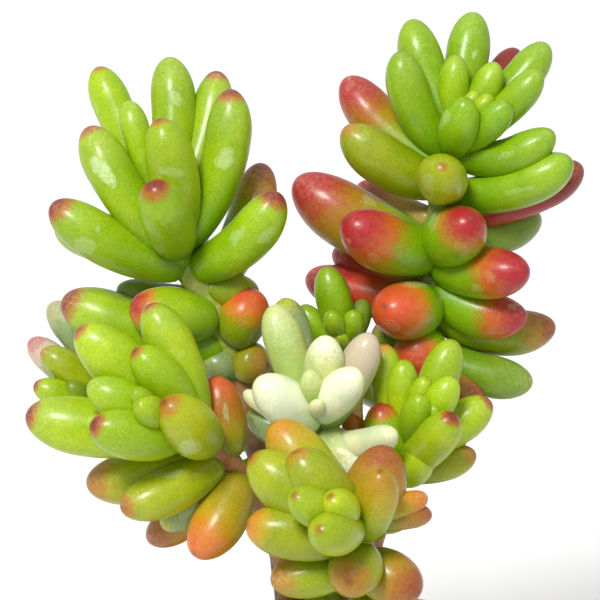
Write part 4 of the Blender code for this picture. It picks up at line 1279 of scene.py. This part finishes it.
def make_pot(surface):
    """The clay pot, with soft edges and three drain holes."""
    band = POT_HEIGHT - POT_RIM_DEPTH
    corners = (
        (0.0, 0.0), (POT_FOOT_RADIUS, 0.0), (POT_SHOULDER_RADIUS, band), (POT_BAND_RADIUS, band),
        (POT_RIM_RADIUS, POT_HEIGHT), (inner_radius(POT_HEIGHT), POT_HEIGHT),
        (inner_radius(POT_FLOOR), POT_FLOOR), (0.0, POT_FLOOR),
    )
    skin = Skin()
    skin.add(*turned(rounded(corners, POT_SOFTNESS, POT_EDGE_STEPS), POT_SKIN_SIDES))
    pot = skin.piece("clay_pot", surface)
    drills = Skin()
    low = -POT_FLOOR
    high = 2 * POT_FLOOR
    outline = ((0.0, low), (DRAIN_RADIUS, low), (DRAIN_RADIUS, high), (0.0, high))
    points, faces = turned(outline, DRAIN_SIDES)
    for k in range(DRAIN_COUNT):
        turn = DRAIN_TURN + 2 * math.pi * k / DRAIN_COUNT
        middle = np.array((DRAIN_CIRCLE * math.cos(turn), DRAIN_CIRCLE * math.sin(turn), 0.0))
        drills.add(points + middle, faces)
    drill = drills.piece("drill", surface)
    cut = pot.modifiers.new("drains", "BOOLEAN")
    cut.object = drill
    cut.solver = "EXACT"
    evaluated = pot.evaluated_get(bpy.context.evaluated_depsgraph_get())
    pot.data = bpy.data.meshes.new_from_object(evaluated)
    pot.modifiers.clear()
    bpy.data.objects.remove(drill)
    pot.data.shade_smooth()
    pot.data.set_sharp_from_angle(angle=POT_SHARP)
    return pot


def make_soil(surface):
    """The soil, which fills the pot, with lumps and crumbs on its top."""
    floor = POT_FLOOR + GAP
    edge = inner_radius(SOIL_TOP) - GAP
    outline = [(0.0, floor), (inner_radius(floor) - POT_SOFTNESS - GAP, floor)]
    outline.append((inner_radius(floor + POT_SOFTNESS) - GAP, floor + POT_SOFTNESS))
    outline.extend((edge * (1 - ring / SOIL_SKIN_RINGS), SOIL_TOP) for ring in range(SOIL_SKIN_RINGS + 1))
    points, faces = turned(outline, SOIL_SKIN_SIDES)
    for point in points:
        if point[2] == SOIL_TOP:
            point[2] += soil_rise(point[0], point[1]) + crumbs(point[0], point[1])
    skin = Skin()
    skin.add(points, faces)
    return skin.piece("potting_soil", surface)


def ball():
    """Corners and faces of a ball of 20 triangles, 1 in radius."""
    golden = (1 + math.sqrt(5)) / 2
    corners = [(x, y * golden, 0.0) for x in (-1, 1) for y in (-1, 1)]
    corners = [np.roll(corner, turn) for turn in range(3) for corner in corners]
    just_over_an_edge = 2.02
    faces = []
    for trio in combinations(range(len(corners)), 3):
        first, second, third = (corners[k] for k in trio)
        sides = (first - second, second - third, third - first)
        if max(np.linalg.norm(side) for side in sides) < just_over_an_edge:
            outward = np.cross(second - first, third - first) @ first > 0
            faces.append(trio if outward else trio[::-1])
    return np.array([unit(corner) for corner in corners]), faces


def make_grit(stems, surface, draw):
    """Crumbs of pumice, lava, bark and earth, scattered on the soil and half sunk in it."""
    edge = inner_radius(SOIL_TOP) - GAP
    corners, faces = ball()
    skin = Skin((), ("tint",))
    for _ in range(GRIT_COUNT):
        size = GRIT_SIZE[0] + (GRIT_SIZE[1] - GRIT_SIZE[0]) * draw.random() ** GRIT_SMALLNESS
        radius = (edge - size) * math.sqrt(draw.random())
        turn = draw.uniform(0, 2 * math.pi)
        x = radius * math.cos(turn)
        y = radius * math.sin(turn)
        kind = draw.choice(len(GRIT_COLOURS), p=GRIT_SHARES)
        tint = np.array(GRIT_COLOURS[kind]) * draw.uniform(*GRIT_TONE)
        stretch = size * draw.uniform(*GRIT_FLATNESS, 3)
        spin = np.linalg.qr(draw.normal(size=(3, 3)))[0]
        rough = corners * (1 + GRIT_ROUGHNESS * draw.uniform(-1, 1, (len(corners), 1)))
        near_stem = (math.hypot(x - stem.line[0][0], y - stem.line[0][1]) - stem.radii[0] for stem in stems)
        if min(near_stem) < size:
            continue
        middle = np.array((x, y, SOIL_TOP + soil_rise(x, y) + GRIT_STAND * size))
        skin.add((rough * stretch) @ spin + middle, faces, tint=tint)
    return skin.piece("grit", surface)


def make_floor(surface):
    """A wide floor under the pot, which is part of the stage."""
    corners = np.array([(-1, -1, 0), (1, -1, 0), (1, 1, 0), (-1, 1, 0)])
    skin = Skin()
    skin.add(corners * FLOOR_SIZE / 2, [(0, 1, 2, 3)])
    floor = skin.piece("floor", surface)
    floor.location.z = -FLOOR_DROP * MM
    floor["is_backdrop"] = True


def facing(right, up, back, place):
    """Where a camera or light is, and how it is turned."""
    turn = Matrix((right, up, back)).transposed().to_4x4()
    return Matrix.Translation(place * MM) @ turn


def make_camera():
    """The eye of the front view."""
    camera = bpy.data.cameras.new("front_view")
    camera.sensor_width = SENSOR
    camera.lens = SENSOR * EYE_DISTANCE / (PICTURE * PIXEL)
    camera.clip_start = NEAREST_SEEN * MM
    holder = shown("front_view", camera)
    holder.matrix_world = facing(RIGHT, UP, TOWARD, VIEW_CENTRE + EYE_DISTANCE * TOWARD)
    bpy.context.scene.camera = holder


def make_lights():
    """A broad soft light, above the eye and a little to its left, and an even white sky."""
    back = unit(TOWARD + KEY_UP * UP - KEY_LEFT * RIGHT)
    right = unit(np.cross(UP, back))
    lamp = bpy.data.lights.new("soft_light", "AREA")
    lamp.shape = "DISK"
    lamp.size = KEY_SIZE * MM
    lamp.energy = KEY_POWER
    holder = shown("soft_light", lamp)
    holder.matrix_world = facing(right, np.cross(back, right), back, VIEW_CENTRE + KEY_DISTANCE * back)
    holder.visible_camera = False
    world = bpy.data.worlds.new("sky")
    world.use_nodes = True
    sky = world.node_tree.nodes["Background"]
    sky.inputs["Color"].default_value = (*SKY_COLOUR, 1)
    sky.inputs["Strength"].default_value = SKY_STRENGTH
    bpy.context.scene.world = world
    bpy.context.scene.view_settings.view_transform = "Standard"


def dress(piece, node=None):
    """Fixes a piece to the plant's one body, in place of a node of the frame if one is given."""
    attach(piece, "root")
    if node:
        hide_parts(node)


def make_plant(stems, box):
    """Replaces each leafy stem of the frame by its leaves and its stem, within the frame's box."""
    draw = np.random.default_rng(SEED)
    placed = {shoot.name: placed_leaves(shoot, stems[shoot.name], fine=False) for shoot in SHOOTS}
    hidden = hidden_leaves(stems, placed)
    low, high = (np.array(corner) / MM for corner in box)
    inner_box = (low + BOX_MARGIN, high - BOX_MARGIN)
    skin = leaf_skin()
    bark = stem_skin()
    for shoot in SHOOTS:
        leaves = make_leaves(shoot, stems[shoot.name], hidden[shoot.name], skin, draw, inner_box)
        dress(leaves, shoot.name)
        dress(make_stem(shoot, bark), shoot.name)


def main():
    """Makes the stage and the pieces, then measures the size of the frame and of the dressed plant."""
    make_camera()
    make_lights()
    make_floor(floor_skin())
    stems = {shoot.name: stem_of(shoot) for shoot in SHOOTS}
    make_plant(stems, cad_box)
    dress(make_pot(clay_skin()), "pot")
    dress(make_soil(earth_skin()), "soil")
    dress(make_grit(list(stems.values()), grit_skin(), np.random.default_rng(SEED + 1)))
    sizes = {"cad": cad_box, "visual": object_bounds()}
    sizes = {name: [list(corner) for corner in box] for name, box in sizes.items()}


main()
